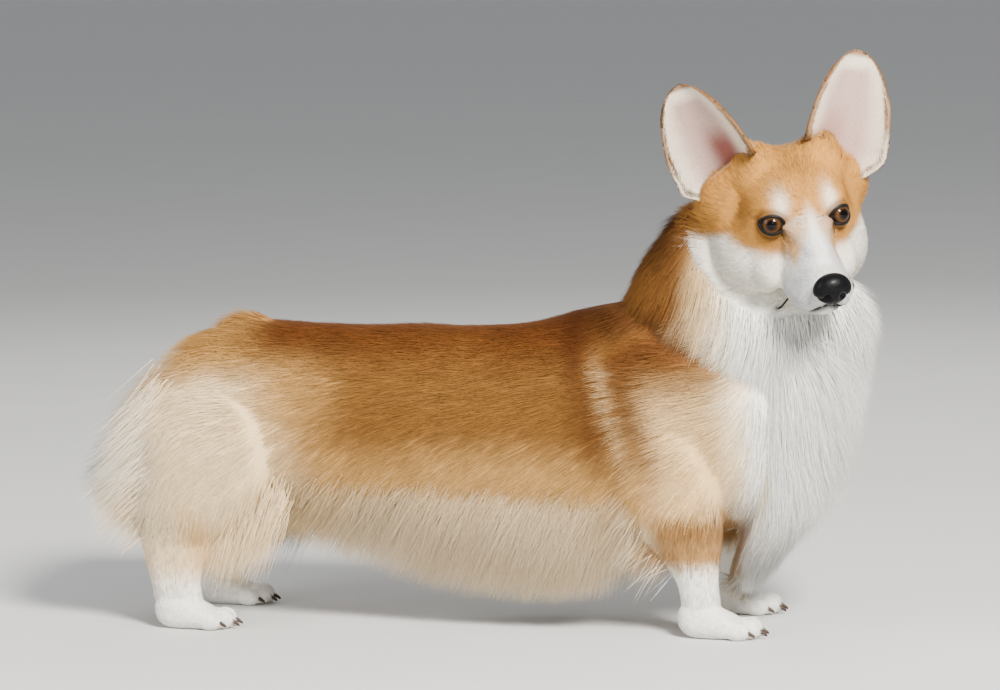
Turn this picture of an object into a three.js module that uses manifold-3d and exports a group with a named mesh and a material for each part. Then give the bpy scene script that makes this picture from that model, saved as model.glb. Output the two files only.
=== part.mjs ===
// A pembroke welsh corgi at life size, standing square with its head turned to its right.
// Millimetres. +X is ahead of the dog, +Y its left, +Z up, and the paws stand on Z = 0.
// Until the last lines X = 0 is the middle of the barrel and Y = 0 the dog's midline.
import * as THREE from 'three';
import { mergeVertices } from 'three/addons/utils/BufferGeometryUtils.js';
import Module from 'manifold-3d';

const wasm = await Module();
wasm.setup();

// Driving sizes
const GAP = 0.35; // between two nodes that touch
const BACK = 288; // height of the level back, with its coat
const CHEST_HALF = 100; // half the width over the shoulders
const LOIN_HALF = 90;
const LEG_OUT = { fore: 66, hind: 68 }; // how far a paw stands from the midline
const FORE_X = 208; // where the foreleg stands
const HIND_X = -292;
const PAW_HEIGHT = 34;
const EYE_RADIUS = 11.5;
const EYE_APART = 61;
const EAR_LENGTH = 108;
const EAR_HALF = 40;
const EAR_LEAN = { right: 27, left: 14 }; // degrees from upright, out to its side
const EAR_TURN = { right: 30, left: 2 }; // degrees that its cup turns out from the front
const HEAD_AT = [295, -57, 387]; // the middle of the skull
const HEAD_TURN = { yaw: -62, pitch: 23, roll: 7 }; // degrees: to the right, nose down, right side low
const MIDDLE = { x: -3.5, y: -22 }; // of the box round the whole dog

// The coat's colours
const COAT = {
  red: [0xc98a4b, 0.85],
  white: [0xf1ece2, 0.9],
  leather: [0x17161a, 0.35],
  eye: [0x2e1a0e, 0.08],
  ear: [0xe6cfc2, 0.8],
  claw: [0x4a4038, 0.4],
};

// A closed three.js geometry with its doubled vertices joined and its faces pointing out
function outward(geometry) {
  const bare = new THREE.BufferGeometry().setAttribute('position', geometry.getAttribute('position'));
  const made = mergeVertices(bare.setIndex(geometry.index), 1e-3);
  const { position } = made.attributes;
  const index = made.index.array;
  const [a, b, c] = [new THREE.Vector3(), new THREE.Vector3(), new THREE.Vector3()];
  let volume = 0;
  for (let i = 0; i < index.length; i += 3) {
    a.fromBufferAttribute(position, index[i]);
    b.fromBufferAttribute(position, index[i + 1]);
    c.fromBufferAttribute(position, index[i + 2]);
    volume += a.dot(b.cross(c));
  }
  if (volume < 0) index.reverse();
  return made;
}

function solidOf(geometry) {
  const made = outward(geometry);
  const vertProperties = made.attributes.position.array;
  const triVerts = new Uint32Array(made.index.array);
  return new wasm.Manifold(new wasm.Mesh({ numProp: 3, vertProperties, triVerts }));
}

const joined = (geometries) => wasm.Manifold.union(geometries.map(solidOf));

// The same closed geometry with each face moved out, to cut room for it in a neighbour
function grown(geometry, by = GAP) {
  const made = outward(geometry);
  const { position } = made.attributes;
  const index = made.index.array;
  const corner = (k) => new THREE.Vector3().fromBufferAttribute(position, index[k]);
  const facing = Array.from({ length: position.count }, () => []);
  for (let i = 0; i < index.length; i += 3) {
    const face = new THREE.Triangle(corner(i), corner(i + 1), corner(i + 2));
    const normal = face.getNormal(new THREE.Vector3());
    for (const k of [0, 1, 2]) facing[index[i + k]].push(normal);
  }
  const size = Math.abs(by);
  facing.forEach((normals, i) => {
    const move = new THREE.Vector3();
    for (let round = 0; round < 12; round++) {
      for (const normal of normals) move.addScaledVector(normal, Math.max(0, size - normal.dot(move)));
    }
    move.clampLength(0, size * 4).multiplyScalar(Math.sign(by));
    position.setXYZ(i, position.getX(i) + move.x, position.getY(i) + move.y, position.getZ(i) + move.z);
  });
  return made;
}

// The largest closed surface of a solid
function largest(solid) {
  const bodies = solid.decompose();
  return bodies.reduce((a, b) => (b.volume() > a.volume() ? b : a));
}

function geometryOf(solid) {
  const mesh = solid.getMesh();
  const positions = new Float32Array(mesh.numVert * 3);
  for (let i = 0; i < mesh.numVert; i++) {
    positions.set(mesh.vertProperties.subarray(i * mesh.numProp, i * mesh.numProp + 3), i * 3);
  }
  return new THREE.BufferGeometry()
    .setAttribute('position', new THREE.BufferAttribute(positions, 3))
    .setIndex(new THREE.BufferAttribute(mesh.triVerts, 1));
}

// A smooth value between stations, each of which is a list of numbers, for t from 0 to 1
function smooth(stations, t) {
  const last = stations.length - 1;
  const at = Math.min(Math.max(t, 0), 1) * last;
  const i = Math.min(Math.floor(at), last - 1);
  const u = at - i;
  const near = (k) => stations[Math.min(last, Math.max(0, i + k))];
  const [a, b, c, d] = [near(-1), near(0), near(1), near(2)];
  return b.map((_, j) => {
    const slope = (c[j] - a[j]) / 2;
    const next = (d[j] - b[j]) / 2;
    const gain = 3 * (c[j] - b[j]) - 2 * slope - next;
    const curl = 2 * (b[j] - c[j]) + slope + next;
    return b[j] + u * (slope + u * (gain + u * curl));
  });
}

// A rounded form between two outlines in the XZ plane. Each station is
// [x, z, x, z, half width, y]: a point of the first outline, the point opposite
// on the second, half the width there, and how far to the left it lies.
function formPoint(form, t, angle) {
  const { stations, caps = [0.15, 0.15], square = 2.3, pear = 0 } = form;
  const [x1, z1, x2, z2, half, y] = smooth(stations, t);
  const share = Math.min(t / caps[0], (1 - t) / caps[1], 1);
  const round = Math.sqrt(Math.max(0, 1 - (1 - share) ** 2));
  const power = (v) => Math.sign(v) * Math.abs(v) ** (2 / square);
  const up = power(Math.cos(angle)) * round;
  const side = power(Math.sin(angle)) * round * (1 - pear * Math.cos(angle));
  return new THREE.Vector3(
    (x1 + x2) / 2 + ((x1 - x2) / 2) * up,
    y + half * side,
    (z1 + z2) / 2 + ((z1 - z2) / 2) * up,
  );
}

// The form's surface, made from a sphere whose rings become the form's sections
function formGeometry(form, left = false) {
  const { around = 20, rings = 14 } = form;
  const sphere = new THREE.SphereGeometry(1, around, rings);
  const at = sphere.attributes.position;
  for (let i = 0; i < at.count; i++) {
    const turn = Math.acos(Math.min(1, Math.max(-1, at.getY(i)))) / Math.PI;
    const t = turn - Math.sin(2 * Math.PI * turn) * 0.08;
    const p = formPoint(form, t, Math.atan2(at.getZ(i), at.getX(i)));
    at.setXYZ(i, p.x, left ? -p.y : p.y, p.z);
  }
  return sphere;
}

// A form whose first outline and sides are drawn in, for the flesh under a long coat
function coreOf(form, front, sides) {
  const stations = form.stations.map(([x1, z1, x2, z2, half, y]) => {
    return [x1 + (x2 - x1) * front, z1 + (z2 - z1) * front, x2, z2, half * sides, y];
  });
  return { ...form, stations };
}

// Repeatable scatter from 0 to 1
let seed = 7;
function scatter() {
  seed = (seed * 16807) % 2147483647;
  return seed / 2147483647;
}

// A flat lock of hair: a cone pressed thin, tapered and bent along a curve
function lockGeometry(curve, outside, width, thick) {
  const cone = new THREE.ConeGeometry(1, 1, 4, 3);
  const at = cone.attributes.position;
  for (let i = 0; i < at.count; i++) {
    const s = Math.min(1, at.getY(i) + 0.5);
    const shrink = Math.max(1e-6, 1 - s);
    const along = curve.getTangent(s);
    const across = new THREE.Vector3().crossVectors(along, outside).normalize();
    const through = new THREE.Vector3().crossVectors(across, along);
    const taper = s > 0.999 ? 0 : (0.8 + 0.7 * s - 1.35 * s * s) / shrink;
    const p = curve.getPoint(s);
    p.addScaledVector(across, width * taper * at.getX(i));
    p.addScaledVector(through, thick * taper * at.getZ(i));
    at.setXYZ(i, p.x, p.y, p.z);
  }
  return cone;
}

// The locks of a form's coat, in rows. Each row is [count, t, reach, angle from, angle to, toward,
// width, length]: roots at t under the surface, tips a reach further along on it or past it,
// drawn towards the angle 0 by a share.
function locks(form, rows, left = false) {
  const made = [];
  for (const [count, t, reach, from, to, toward, width, length = 1] of rows) {
    for (let i = 0; i < count; i++) {
      const share = count > 1 ? (i + 0.3 * (scatter() - 0.5)) / (count - 1) : 0.5;
      const angle = THREE.MathUtils.degToRad(from + (to - from) * share);
      const far = t + reach * (0.85 + 0.3 * scatter());
      const spine = (at) => formPoint(form, at, 0).lerp(formPoint(form, at, Math.PI), 0.5);
      const skin = formPoint(form, t, angle);
      const root = skin.clone().lerp(spine(t), 0.42);
      const middle = formPoint(form, t + (far - t) * 0.45, angle * (1 - toward * 0.35));
      const tip = formPoint(form, far, angle * (1 - toward));
      tip.addScaledVector(tip.clone().sub(root), length - 1 + 0.1 * (scatter() - 0.5));
      const outside = skin.clone().sub(spine(t)).normalize();
      if (left) [root, middle, tip, outside].forEach((v) => v.setY(-v.y));
      const curve = new THREE.QuadraticBezierCurve3(root, middle, tip);
      made.push(lockGeometry(curve, outside, width * (0.85 + 0.3 * scatter()), width * 0.34));
    }
  }
  return made;
}

// A fringe: locks whose roots and tips follow two lines, bowed out by an offset at their middle
function fringe({ roots, tips, count, width, bow = [0, 0, 0] }, left = false) {
  return Array.from({ length: count }, (_, i) => {
    const share = (i + 0.4 * (scatter() - 0.5)) / (count - 1);
    const root = new THREE.Vector3(...smooth(roots, share));
    const tip = new THREE.Vector3(...smooth(tips, share));
    tip.lerp(root, 0.24 * (scatter() - 0.3));
    tip.x += width * 0.7 * (scatter() - 0.5);
    const middle = root.clone().lerp(tip, 0.5).add(new THREE.Vector3(...bow));
    const outside = new THREE.Vector3(0, Math.sign(root.y), 0.1);
    if (left) [root, middle, tip, outside].forEach((v) => v.setY(-v.y));
    const curve = new THREE.QuadraticBezierCurve3(root, middle, tip);
    return lockGeometry(curve, outside, width * (0.85 + 0.3 * scatter()), width * 0.36);
  });
}

// An ellipsoid, turned by degrees about Y and then Z
function ball(at, radii, { pitch = 0, yaw = 0, detail = 12 } = {}) {
  const turn = new THREE.Euler(0, THREE.MathUtils.degToRad(pitch), THREE.MathUtils.degToRad(yaw), 'ZYX');
  const matrix = new THREE.Matrix4().compose(
    new THREE.Vector3(...at),
    new THREE.Quaternion().setFromEuler(turn),
    new THREE.Vector3(...radii),
  );
  return new THREE.SphereGeometry(1, detail, Math.round(detail * 0.7)).applyMatrix4(matrix);
}

function box([x0, y0, z0], [x1, y1, z1]) {
  const block = new THREE.BoxGeometry(x1 - x0, y1 - y0, z1 - z0);
  return block.translate((x0 + x1) / 2, (y0 + y1) / 2, (z0 + z1) / 2);
}

// Body
const TORSO = {
  stations: [
    [-337, 232, -337, 140, 66, 0],
    [-288, 274, -288, 118, 92, 0],
    [-225, BACK + 1, -225, 110, 95, 0],
    [-150, BACK - 2, -150, 103, LOIN_HALF, 0],
    [-60, BACK - 2, -60, 92, LOIN_HALF + 1, 0],
    [30, BACK, 30, 80, 95, 0],
    [110, BACK + 18, 110, 72, CHEST_HALF, 0],
    [180, BACK + 34, 180, 76, CHEST_HALF, 0],
    [255, BACK + 14, 255, 92, 88, 0],
    [322, 268, 322, 128, 62, 0],
  ],
  caps: [0.11, 0.12],
  square: 2.35,
  pear: 0.06,
  around: 16,
  rings: 15,
};

const NECK = {
  stations: [
    [332, 178, 88, 262, 90, 0],
    [361, 240, 132, 306, 90, 0],
    [369, 296, 150, 344, 74, -8],
    [352, 336, 168, 382, 54, -22],
    [318, 376, 190, 414, 44, -30],
  ],
  caps: [0.2, 0.2],
  around: 16,
  rings: 9,
};

const TAIL = {
  stations: [
    [-205, BACK + 2, -205, BACK - 24, 14, 0],
    [-235, BACK + 6, -235, BACK - 18, 15, 0],
    [-262, BACK, -258, BACK - 22, 12, 0],
  ],
  caps: [0.3, 0.5],
  around: 12,
  rings: 8,
};

// The long coat as plain forms, out to the tips of the hair
const BREECHES = {
  stations: [
    [-240, 282, -240, 250, 70, 0],
    [-312, 256, -290, 215, 84, 0],
    [-368, 190, -300, 150, 92, 0],
    [-391, 135, -300, 118, 92, 0],
    [-374, 100, -300, 106, 86, 0],
  ],
  caps: [0.2, 0.25],
  around: 12,
  rings: 7,
};

const BIB = {
  stations: [
    [328, 300, 250, 300, 74, 0],
    [362, 262, 250, 262, 84, 0],
    [354, 190, 240, 190, 84, 0],
    [338, 120, 240, 120, 74, 0],
    [276, 62, 232, 84, 50, 0],
    [250, 26, 226, 50, 30, 0],
  ],
  caps: [0.2, 0.12],
  around: 12,
  rings: 9,
};

// Legs, as the right ones
const FORELEG = {
  stations: [
    [FORE_X + 6, 225, FORE_X - 92, 215, 34, -60],
    [FORE_X + 24, 168, FORE_X - 84, 152, 38, -LEG_OUT.fore],
    [FORE_X + 26, 122, FORE_X - 66, 106, 35, -LEG_OUT.fore - 4],
    [FORE_X + 23, 86, FORE_X - 42, 76, 26, -LEG_OUT.fore - 2],
    [FORE_X + 20, 56, FORE_X - 24, 48, 20, -LEG_OUT.fore],
    [FORE_X + 22, 18, FORE_X - 18, 14, 18, -LEG_OUT.fore],
  ],
  caps: [0.15, 0.05],
  around: 10,
  rings: 8,
};

const HIND_LEG = {
  stations: [
    [HIND_X + 90, 240, HIND_X - 20, 240, 38, -56],
    [HIND_X + 106, 192, HIND_X - 38, 192, 46, -60],
    [HIND_X + 100, 146, HIND_X - 40, 148, 45, -64],
    [HIND_X + 76, 106, HIND_X - 38, 104, 37, -LEG_OUT.hind],
    [HIND_X + 42, 78, HIND_X - 34, 72, 25, -LEG_OUT.hind],
    [HIND_X + 27, 46, HIND_X - 26, 40, 19, -LEG_OUT.hind],
    [HIND_X + 30, 14, HIND_X - 20, 14, 18, -LEG_OUT.hind],
  ],
  caps: [0.15, 0.05],
  around: 10,
  rings: 9,
};

// Rows of locks: [count, t, reach, angle from, angle to, toward, width, length]
const BREECH_LOCKS = [
  [3, 0.18, 0.32, -40, 40, 0.1, 19],
  [4, 0.36, 0.32, -50, 50, 0.1, 19],
  [5, 0.54, 0.32, -55, 55, 0.1, 18],
  [5, 0.7, 0.27, -64, 64, 0.15, 17, 1.05],
];
// The belly's fringe: the line of its tips along X, and rows at a distance to the side
const BELLY_TIPS = [[-190, 74], [-150, 62], [-100, 46], [-50, 32], [0, 22], [60, 20], [110, 22], [160, 30]];
const BELLY_ROWS = [[-66, 12], [-28, 6], [28, 6], [66, 12]].map(([y, count]) => ({
  roots: BELLY_TIPS.map(([x, z]) => [x + 8, y, z * 0.3 + 96]),
  tips: BELLY_TIPS.map(([x, z]) => [x - 8, y * 0.86, z]),
  count,
  width: 23,
  bow: [0, Math.sign(y) * 7, 0],
}));

const BIB_LOCKS = [
  [4, 0.16, 0.26, -62, 62, 0, 21, 1.06],
  [5, 0.33, 0.26, -80, 80, 0.05, 21, 1.08],
  [5, 0.5, 0.26, -80, 80, 0.1, 19, 1.08],
  [4, 0.66, 0.24, -74, 74, 0.2, 17, 1.08],
  [3, 0.8, 0.2, -60, 60, 0.3, 13, 1.15],
];
const RUFF_LOCKS = [
  [8, 0.62, -0.3, -118, 118, 0, 22, 1.02],
  [5, 0.36, -0.3, -78, 78, 0, 22, 1.03],
];
// Fringes of the right legs: behind the elbow, behind the thigh and before it
const FORELEG_LOCKS = [
  {
    roots: [[136, -74, 142], [158, -78, 112], [184, -74, 84]],
    tips: [[122, -72, 76], [142, -74, 48], [166, -72, 36]],
    count: 4,
    width: 14,
  },
  {
    roots: [[140, -52, 138], [160, -52, 110], [186, -52, 84]],
    tips: [[126, -54, 72], [146, -56, 46], [170, -56, 36]],
    count: 3,
    width: 14,
  },
];
const THIGH_LOCKS = [
  {
    roots: [[-296, -86, 226], [-308, -88, 184], [-312, -86, 148], [-308, -78, 116]],
    tips: [[-346, -88, 176], [-368, -86, 134], [-366, -80, 102], [-338, -72, 86]],
    count: 5,
    width: 18,
    bow: [-6, -6, 4],
  },
  {
    roots: [[-300, -54, 210], [-306, -52, 170], [-306, -52, 136], [-304, -54, 112]],
    tips: [[-356, -58, 166], [-378, -56, 130], [-374, -54, 104], [-342, -56, 86]],
    count: 3,
    width: 18,
    bow: [-6, 0, 4],
  },
  {
    roots: [[-262, -76, 112], [-238, -82, 124], [-212, -84, 138]],
    tips: [[-252, -72, 50], [-228, -76, 42], [-196, -74, 60]],
    count: 4,
    width: 15,
    bow: [4, -5, 0],
  },
  {
    roots: [[-258, -52, 112], [-236, -52, 124], [-212, -52, 136]],
    tips: [[-250, -54, 50], [-226, -56, 42], [-194, -54, 60]],
    count: 2,
    width: 16,
    bow: [4, 0, 0],
  },
];

function pawForm(x, out) {
  return {
    stations: [
      [x - 22, PAW_HEIGHT, x - 20, 1, 15, -out],
      [x, PAW_HEIGHT + 2, x, -3, 20, -out],
      [x + 24, PAW_HEIGHT - 8, x + 24, -3, 23, -out],
      [x + 42, 16, x + 42, -3, 20, -out],
    ],
    caps: [0.25, 0.25],
    square: 2.6,
    around: 9,
    rings: 5,
  };
}

// Four toes spread from the front of a paw: [ahead, to the side, radius]
const TOES = [
  [36, -16, 9.5],
  [45, -6, 10.5],
  [45, 6, 10.5],
  [36, 16, 9.5],
];
const CLAW = { length: 16, root: 2.9, tip: 1.1, height: 7.5 };

function toeBalls(x, out) {
  return TOES.map(([ahead, side, radius]) => {
    return ball([x + ahead, side - out, radius - 1.5], [radius + 3, radius - 1, radius], { detail: 6 });
  });
}

function clawGeometry(x, out, [ahead, side, radius]) {
  return new THREE.CylinderGeometry(CLAW.tip, CLAW.root, CLAW.length, 5)
    .rotateZ(-Math.PI / 2)
    .rotateY(THREE.MathUtils.degToRad(20))
    .translate(x + ahead + radius, side - out, CLAW.height);
}

const floorCut = solidOf(box([-600, -300, -100], [600, 300, 0]));

// Head, in its own frame: +X towards the nose, +Y its left, +Z up, from the middle of the skull
// Rounded lumps as [x, y, z, radius x, y, z], which run together in one smooth surface
const HEAD_LUMPS = [
  [-10, 0, 0, 62, 57, 60], // skull
  [40, 0, 9, 24, 20, 15], // stop
  [62, 0, 0, 26, 15, 12], // bridge of the nose
  [-14, 47, -36, 46, 27, 40], // cheek
  [28, 35, -34, 28, 15, 22], // before it
  [-20, 30, 38, 24, 25, 30], // foot of the ear
  [-27, 56, 11, 24, 25, 30], // under it
  [26, 26, 26, 18, 13, 11], // brow
].flatMap(([x, y, ...rest]) => (y ? [[x, y, ...rest], [x, -y, ...rest]] : [[x, y, ...rest]]));
const HEAD_MIDDLE = new THREE.Vector3(-4, 0, -6);
const MELT = 5; // how far two lumps run together

const MUZZLE = {
  stations: [
    [28, 8, 24, -58, 28, 0],
    [54, 8, 50, -58, 31, 0],
    [80, 1, 76, -57, 27, 0],
    [108, -5, 100, -52, 20, 0],
  ],
  caps: [0.1, 0.22],
  square: 2.4,
  pear: 0.1,
  around: 12,
  rings: 8,
};

const EYE_AT = [33, EYE_APART / 2, 14];
const GAZE = 22; // degrees that each eye looks out to its side
const NOSE_AT = [109, 0, -19];

// How full the head is at a point: 1 at its surface, more inside
function headFill(p) {
  return HEAD_LUMPS.reduce((sum, [x, y, z, a, b, c]) => {
    const size = Math.hypot((p.x - x) / a, (p.y - y) / b, (p.z - z) / c);
    return sum + Math.exp(((1 - size) * Math.cbrt(a * b * c)) / MELT);
  }, 0);
}

// A sphere whose points move out or in to where the head is just full
function headGeometry() {
  const sphere = new THREE.SphereGeometry(1, 26, 20);
  const at = sphere.attributes.position;
  const way = new THREE.Vector3();
  for (let i = 0; i < at.count; i++) {
    way.fromBufferAttribute(at, i);
    let [inside, outside] = [10, 150];
    for (let round = 0; round < 24; round++) {
      const middle = (inside + outside) / 2;
      if (headFill(HEAD_MIDDLE.clone().addScaledVector(way, middle)) > 1) inside = middle;
      else outside = middle;
    }
    const p = HEAD_MIDDLE.clone().addScaledVector(way, inside);
    at.setXYZ(i, p.x, p.y, p.z);
  }
  return sphere;
}

function headPieces() {
  const pieces = [headGeometry(), formGeometry(MUZZLE)];
  for (const side of [-1, 1]) {
    pieces.push(ball([74, side * 19, -36], [27, 11, 14], { pitch: 6, yaw: side * -10, detail: 9 })); // flews
  }
  return pieces;
}

// The rim of lids round one eye, wider than high and facing where the eye looks
function lidRing(side) {
  return new THREE.TorusGeometry(EYE_RADIUS - 0.5, 2.6, 5, 12)
    .scale(1.08, 0.84, 1)
    .rotateX(Math.PI / 2)
    .rotateZ(Math.PI / 2)
    .translate(6.2, 0, 0)
    .rotateZ(THREE.MathUtils.degToRad(side * GAZE))
    .translate(EYE_AT[0], side * EYE_AT[1], EYE_AT[2]);
}

function eyeBall(side) {
  return new THREE.SphereGeometry(EYE_RADIUS, 12, 8).translate(EYE_AT[0], side * EYE_AT[1], EYE_AT[2]);
}

// The slit between the lips: a thin slab that stops 3 mm under the skin
function mouthLine() {
  const slab = new THREE.BoxGeometry(74, 90, 1.6).rotateY(THREE.MathUtils.degToRad(-8));
  slab.translate(92, 0, -43);
  const inner = [grown(formGeometry(MUZZLE), -4)];
  for (const side of [-1, 1]) {
    inner.push(ball([74, side * 15, -36], [24, 9, 12], { pitch: 6, yaw: side * -10 }));
  }
  return solidOf(slab).subtract(joined(inner));
}

const philtrum = () => new THREE.BoxGeometry(8, 1.4, 14).translate(114, 0, -37);

const nosePad = () => [
  ball(NOSE_AT, [11, 17.5, 14], { detail: 10 }),
  ball([NOSE_AT[0] - 4, 0, NOSE_AT[2] + 5], [11, 14, 11], { detail: 8 }),
];

function noseSolid() {
  const nostrils = [-1, 1].flatMap((side) => [
    ball([NOSE_AT[0] + 9, side * 7, NOSE_AT[2]], [6, 3.4, 3.2], { detail: 6 }),
    ball([NOSE_AT[0] + 6, side * 12, NOSE_AT[2] - 3], [6, 5, 1.5], { detail: 6 }),
  ]);
  return joined(nosePad()).subtract(joined(nostrils));
}

// An ear: a sphere pressed thin and wrapped into a cup that opens forward
function earGeometry(side) {
  const thick = 3.2;
  const sphere = new THREE.SphereGeometry(1, 14, 11);
  const at = sphere.attributes.position;
  for (let i = 0; i < at.count; i++) {
    const height = (at.getY(i) + 1) / 2;
    const ring = Math.sqrt(Math.max(0, 1 - at.getY(i) ** 2));
    const open = ring < 1e-3 ? 0 : 1;
    const across = open ? at.getX(i) / ring : 0;
    const through = open ? at.getZ(i) / ring : 0;
    const swell = 0.86 + 0.5 * height - 0.36 * height ** 2;
    const outline = EAR_HALF * 1.08 * Math.sqrt(1 - height ** 2.4) * swell;
    const foot = Math.max(1e-3, Math.sqrt(Math.min(1, height / 0.08)));
    const bend = THREE.MathUtils.degToRad(74 - 38 * height) * foot;
    const radius = (outline * foot) / Math.sin(bend);
    const skin = thick * Math.min(1, (1 - height) * 8) * Math.sign(through) * Math.abs(through) ** 0.6;
    const around = bend * across;
    at.setXYZ(
      i,
      radius - (radius - skin) * Math.cos(around),
      (radius - skin) * Math.sin(around),
      height * (EAR_LENGTH + 18) - 18,
    );
  }
  const name = side > 0 ? 'left' : 'right';
  return sphere
    .rotateZ(THREE.MathUtils.degToRad(side * EAR_TURN[name]))
    .rotateX(THREE.MathUtils.degToRad(-side * EAR_LEAN[name]))
    .rotateY(THREE.MathUtils.degToRad(-4))
    .translate(-30, side * 47, 34);
}

// Nodes
const root = new THREE.Group();
const head = new THREE.Group();
head.position.set(...HEAD_AT);
head.rotation.set(
  THREE.MathUtils.degToRad(HEAD_TURN.roll),
  THREE.MathUtils.degToRad(HEAD_TURN.pitch),
  THREE.MathUtils.degToRad(HEAD_TURN.yaw),
  'ZYX',
);
root.add(head);
head.updateMatrix();

function addNode(parent, name, solid, [color, roughness]) {
  const material = new THREE.MeshStandardMaterial({ color, roughness, metalness: 0 });
  const mesh = new THREE.Mesh(geometryOf(largest(solid)), material);
  mesh.name = name;
  parent.add(mesh);
}

const SIDES = [
  ['right', -1],
  ['left', 1],
];

// The head node, less what is set in it
const setIn = [eyeBall(-1), eyeBall(1), earGeometry(-1), earGeometry(1), ...nosePad()];
const headSolid = joined([...headPieces(), lidRing(-1), lidRing(1)])
  .subtract(joined(setIn.map((g) => grown(g))))
  .subtract(solidOf(philtrum()))
  .subtract(mouthLine());
addNode(head, 'head', headSolid, COAT.red);
addNode(head, 'nose', noseSolid(), COAT.leather);
for (const [name, side] of SIDES) {
  addNode(head, `eye_${name}`, solidOf(eyeBall(side)), COAT.eye);
  addNode(head, `ear_${name}`, solidOf(earGeometry(side)), COAT.ear);
}

const inPlace = (g) => g.applyMatrix4(head.matrix);
const headForms = [...headPieces(), lidRing(-1), lidRing(1), ...setIn];
const headRoom = joined(headForms.map((g) => grown(inPlace(g))));

// Legs and paws: a leg ends at the top of its paw
const LEGS = [
  ['foreleg', 'forepaw', FORELEG, FORE_X, LEG_OUT.fore, FORELEG_LOCKS],
  ['hind_leg', 'hind_paw', HIND_LEG, HIND_X, LEG_OUT.hind, THIGH_LOCKS],
];
const ANKLE = PAW_HEIGHT - 8;
const above = solidOf(box([-600, -300, ANKLE + GAP], [600, 300, 600]));
const below = solidOf(box([-600, -300, 0], [600, 300, ANKLE]));
const legRoom = [];
for (const [legName, pawName, form, x, out, rows] of LEGS) {
  for (const [name, side] of SIDES) {
    const left = side > 0;
    const toes = toeBalls(x, out);
    const claws = TOES.map((toe) => clawGeometry(x, out, toe));
    if (left) [...toes, ...claws].forEach((g) => g.scale(1, -1, 1));
    const feather = rows.flatMap((row) => fringe(row, left));
    const pieces = [formGeometry(form, left), formGeometry(pawForm(x, out), left), ...toes, ...feather];
    const whole = joined(pieces);
    const sockets = joined(claws.map((g) => grown(g)));
    addNode(root, `${legName}_${name}`, whole.intersect(above), COAT.red);
    addNode(root, `${pawName}_${name}`, whole.intersect(below).subtract(sockets), COAT.white);
    claws.forEach((g, i) => addNode(root, `claw_${pawName}_${name}_${i + 1}`, solidOf(g), COAT.claw));
    legRoom.push(...pieces.map((g) => solidOf(grown(g))));
  }
}

// The body in three lengths, the bib, the neck and the tail
const bodyForms = [
  formGeometry(TORSO),
  formGeometry(coreOf(BREECHES, 0.45, 0.72)),
  ...locks(BREECHES, BREECH_LOCKS),
  ...BELLY_ROWS.flatMap((row) => fringe(row)),
];
const bibForms = [formGeometry(coreOf(BIB, 0.28, 0.8)), ...locks(BIB, BIB_LOCKS)];
const tail = formGeometry(TAIL);
const others = wasm.Manifold.union([...legRoom, headRoom, floorCut]);
const bib = joined(bibForms).subtract(others);
const bibRoom = joined(bibForms.map((g) => grown(g)));
const trunk = joined(bodyForms)
  .subtract(others)
  .subtract(bibRoom)
  .subtract(solidOf(grown(tail)));
const LENGTHS = [
  ['rump', -500, -152],
  ['barrel', -152 + GAP, 96],
  ['chest', 96 + GAP, 500],
];
for (const [name, from, to] of LENGTHS) {
  addNode(root, name, trunk.intersect(solidOf(box([from, -300, -10], [to, 300, 600]))), COAT.red);
}
addNode(root, 'tail', solidOf(tail), COAT.red);
addNode(root, 'bib', bib, COAT.white);
const bodyRoom = joined(bodyForms.map((g) => grown(g))).add(bibRoom);
const neck = joined([formGeometry(coreOf(NECK, 0.07, 0.9)), ...locks(NECK, RUFF_LOCKS)]);
addNode(root, 'neck', neck.subtract(bodyRoom).subtract(headRoom), COAT.red);

root.position.set(-MIDDLE.x, -MIDDLE.y, 0);
export default root;
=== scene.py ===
"""A pembroke welsh corgi, life size, standing with its head turned to its right.

Lengths in the tables are millimetres in the dog's own frame, as the solids state them:
+X ahead, +Y to its left, +Z up, X = 0 at the middle of the barrel. SHIFT moves them
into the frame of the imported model, and everything is built there in metres.
"""

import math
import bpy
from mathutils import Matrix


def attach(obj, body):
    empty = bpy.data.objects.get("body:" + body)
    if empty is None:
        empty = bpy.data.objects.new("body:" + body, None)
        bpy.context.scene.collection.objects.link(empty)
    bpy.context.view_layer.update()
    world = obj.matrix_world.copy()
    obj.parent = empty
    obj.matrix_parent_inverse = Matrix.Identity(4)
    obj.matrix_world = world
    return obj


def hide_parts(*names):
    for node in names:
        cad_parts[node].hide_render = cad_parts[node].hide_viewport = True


bl_info = {
    "name": "Corgi Model",
    "version": (1, 0, 0),
    "blender": (4, 5, 0),
    "location": "View3D > Sidebar > Corgi",
    "description": "Builds a life-size corgi over its solids: skin, coat, eyes, nose, ears and claws",
    "category": "Object",
}

import bmesh
import bpy
import numpy as np
from mathutils import Euler, Matrix, Vector
from mathutils.bvhtree import BVHTree
from mathutils.kdtree import KDTree

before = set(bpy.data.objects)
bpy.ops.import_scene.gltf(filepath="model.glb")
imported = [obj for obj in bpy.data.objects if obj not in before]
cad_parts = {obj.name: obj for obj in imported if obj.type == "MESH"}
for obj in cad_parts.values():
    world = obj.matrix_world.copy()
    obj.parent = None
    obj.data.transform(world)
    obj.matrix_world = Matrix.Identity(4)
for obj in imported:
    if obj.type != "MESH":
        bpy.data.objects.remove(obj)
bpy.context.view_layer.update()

MM = 0.001
SHIFT = np.array([3.5, 22.0, 0.0])

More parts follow.
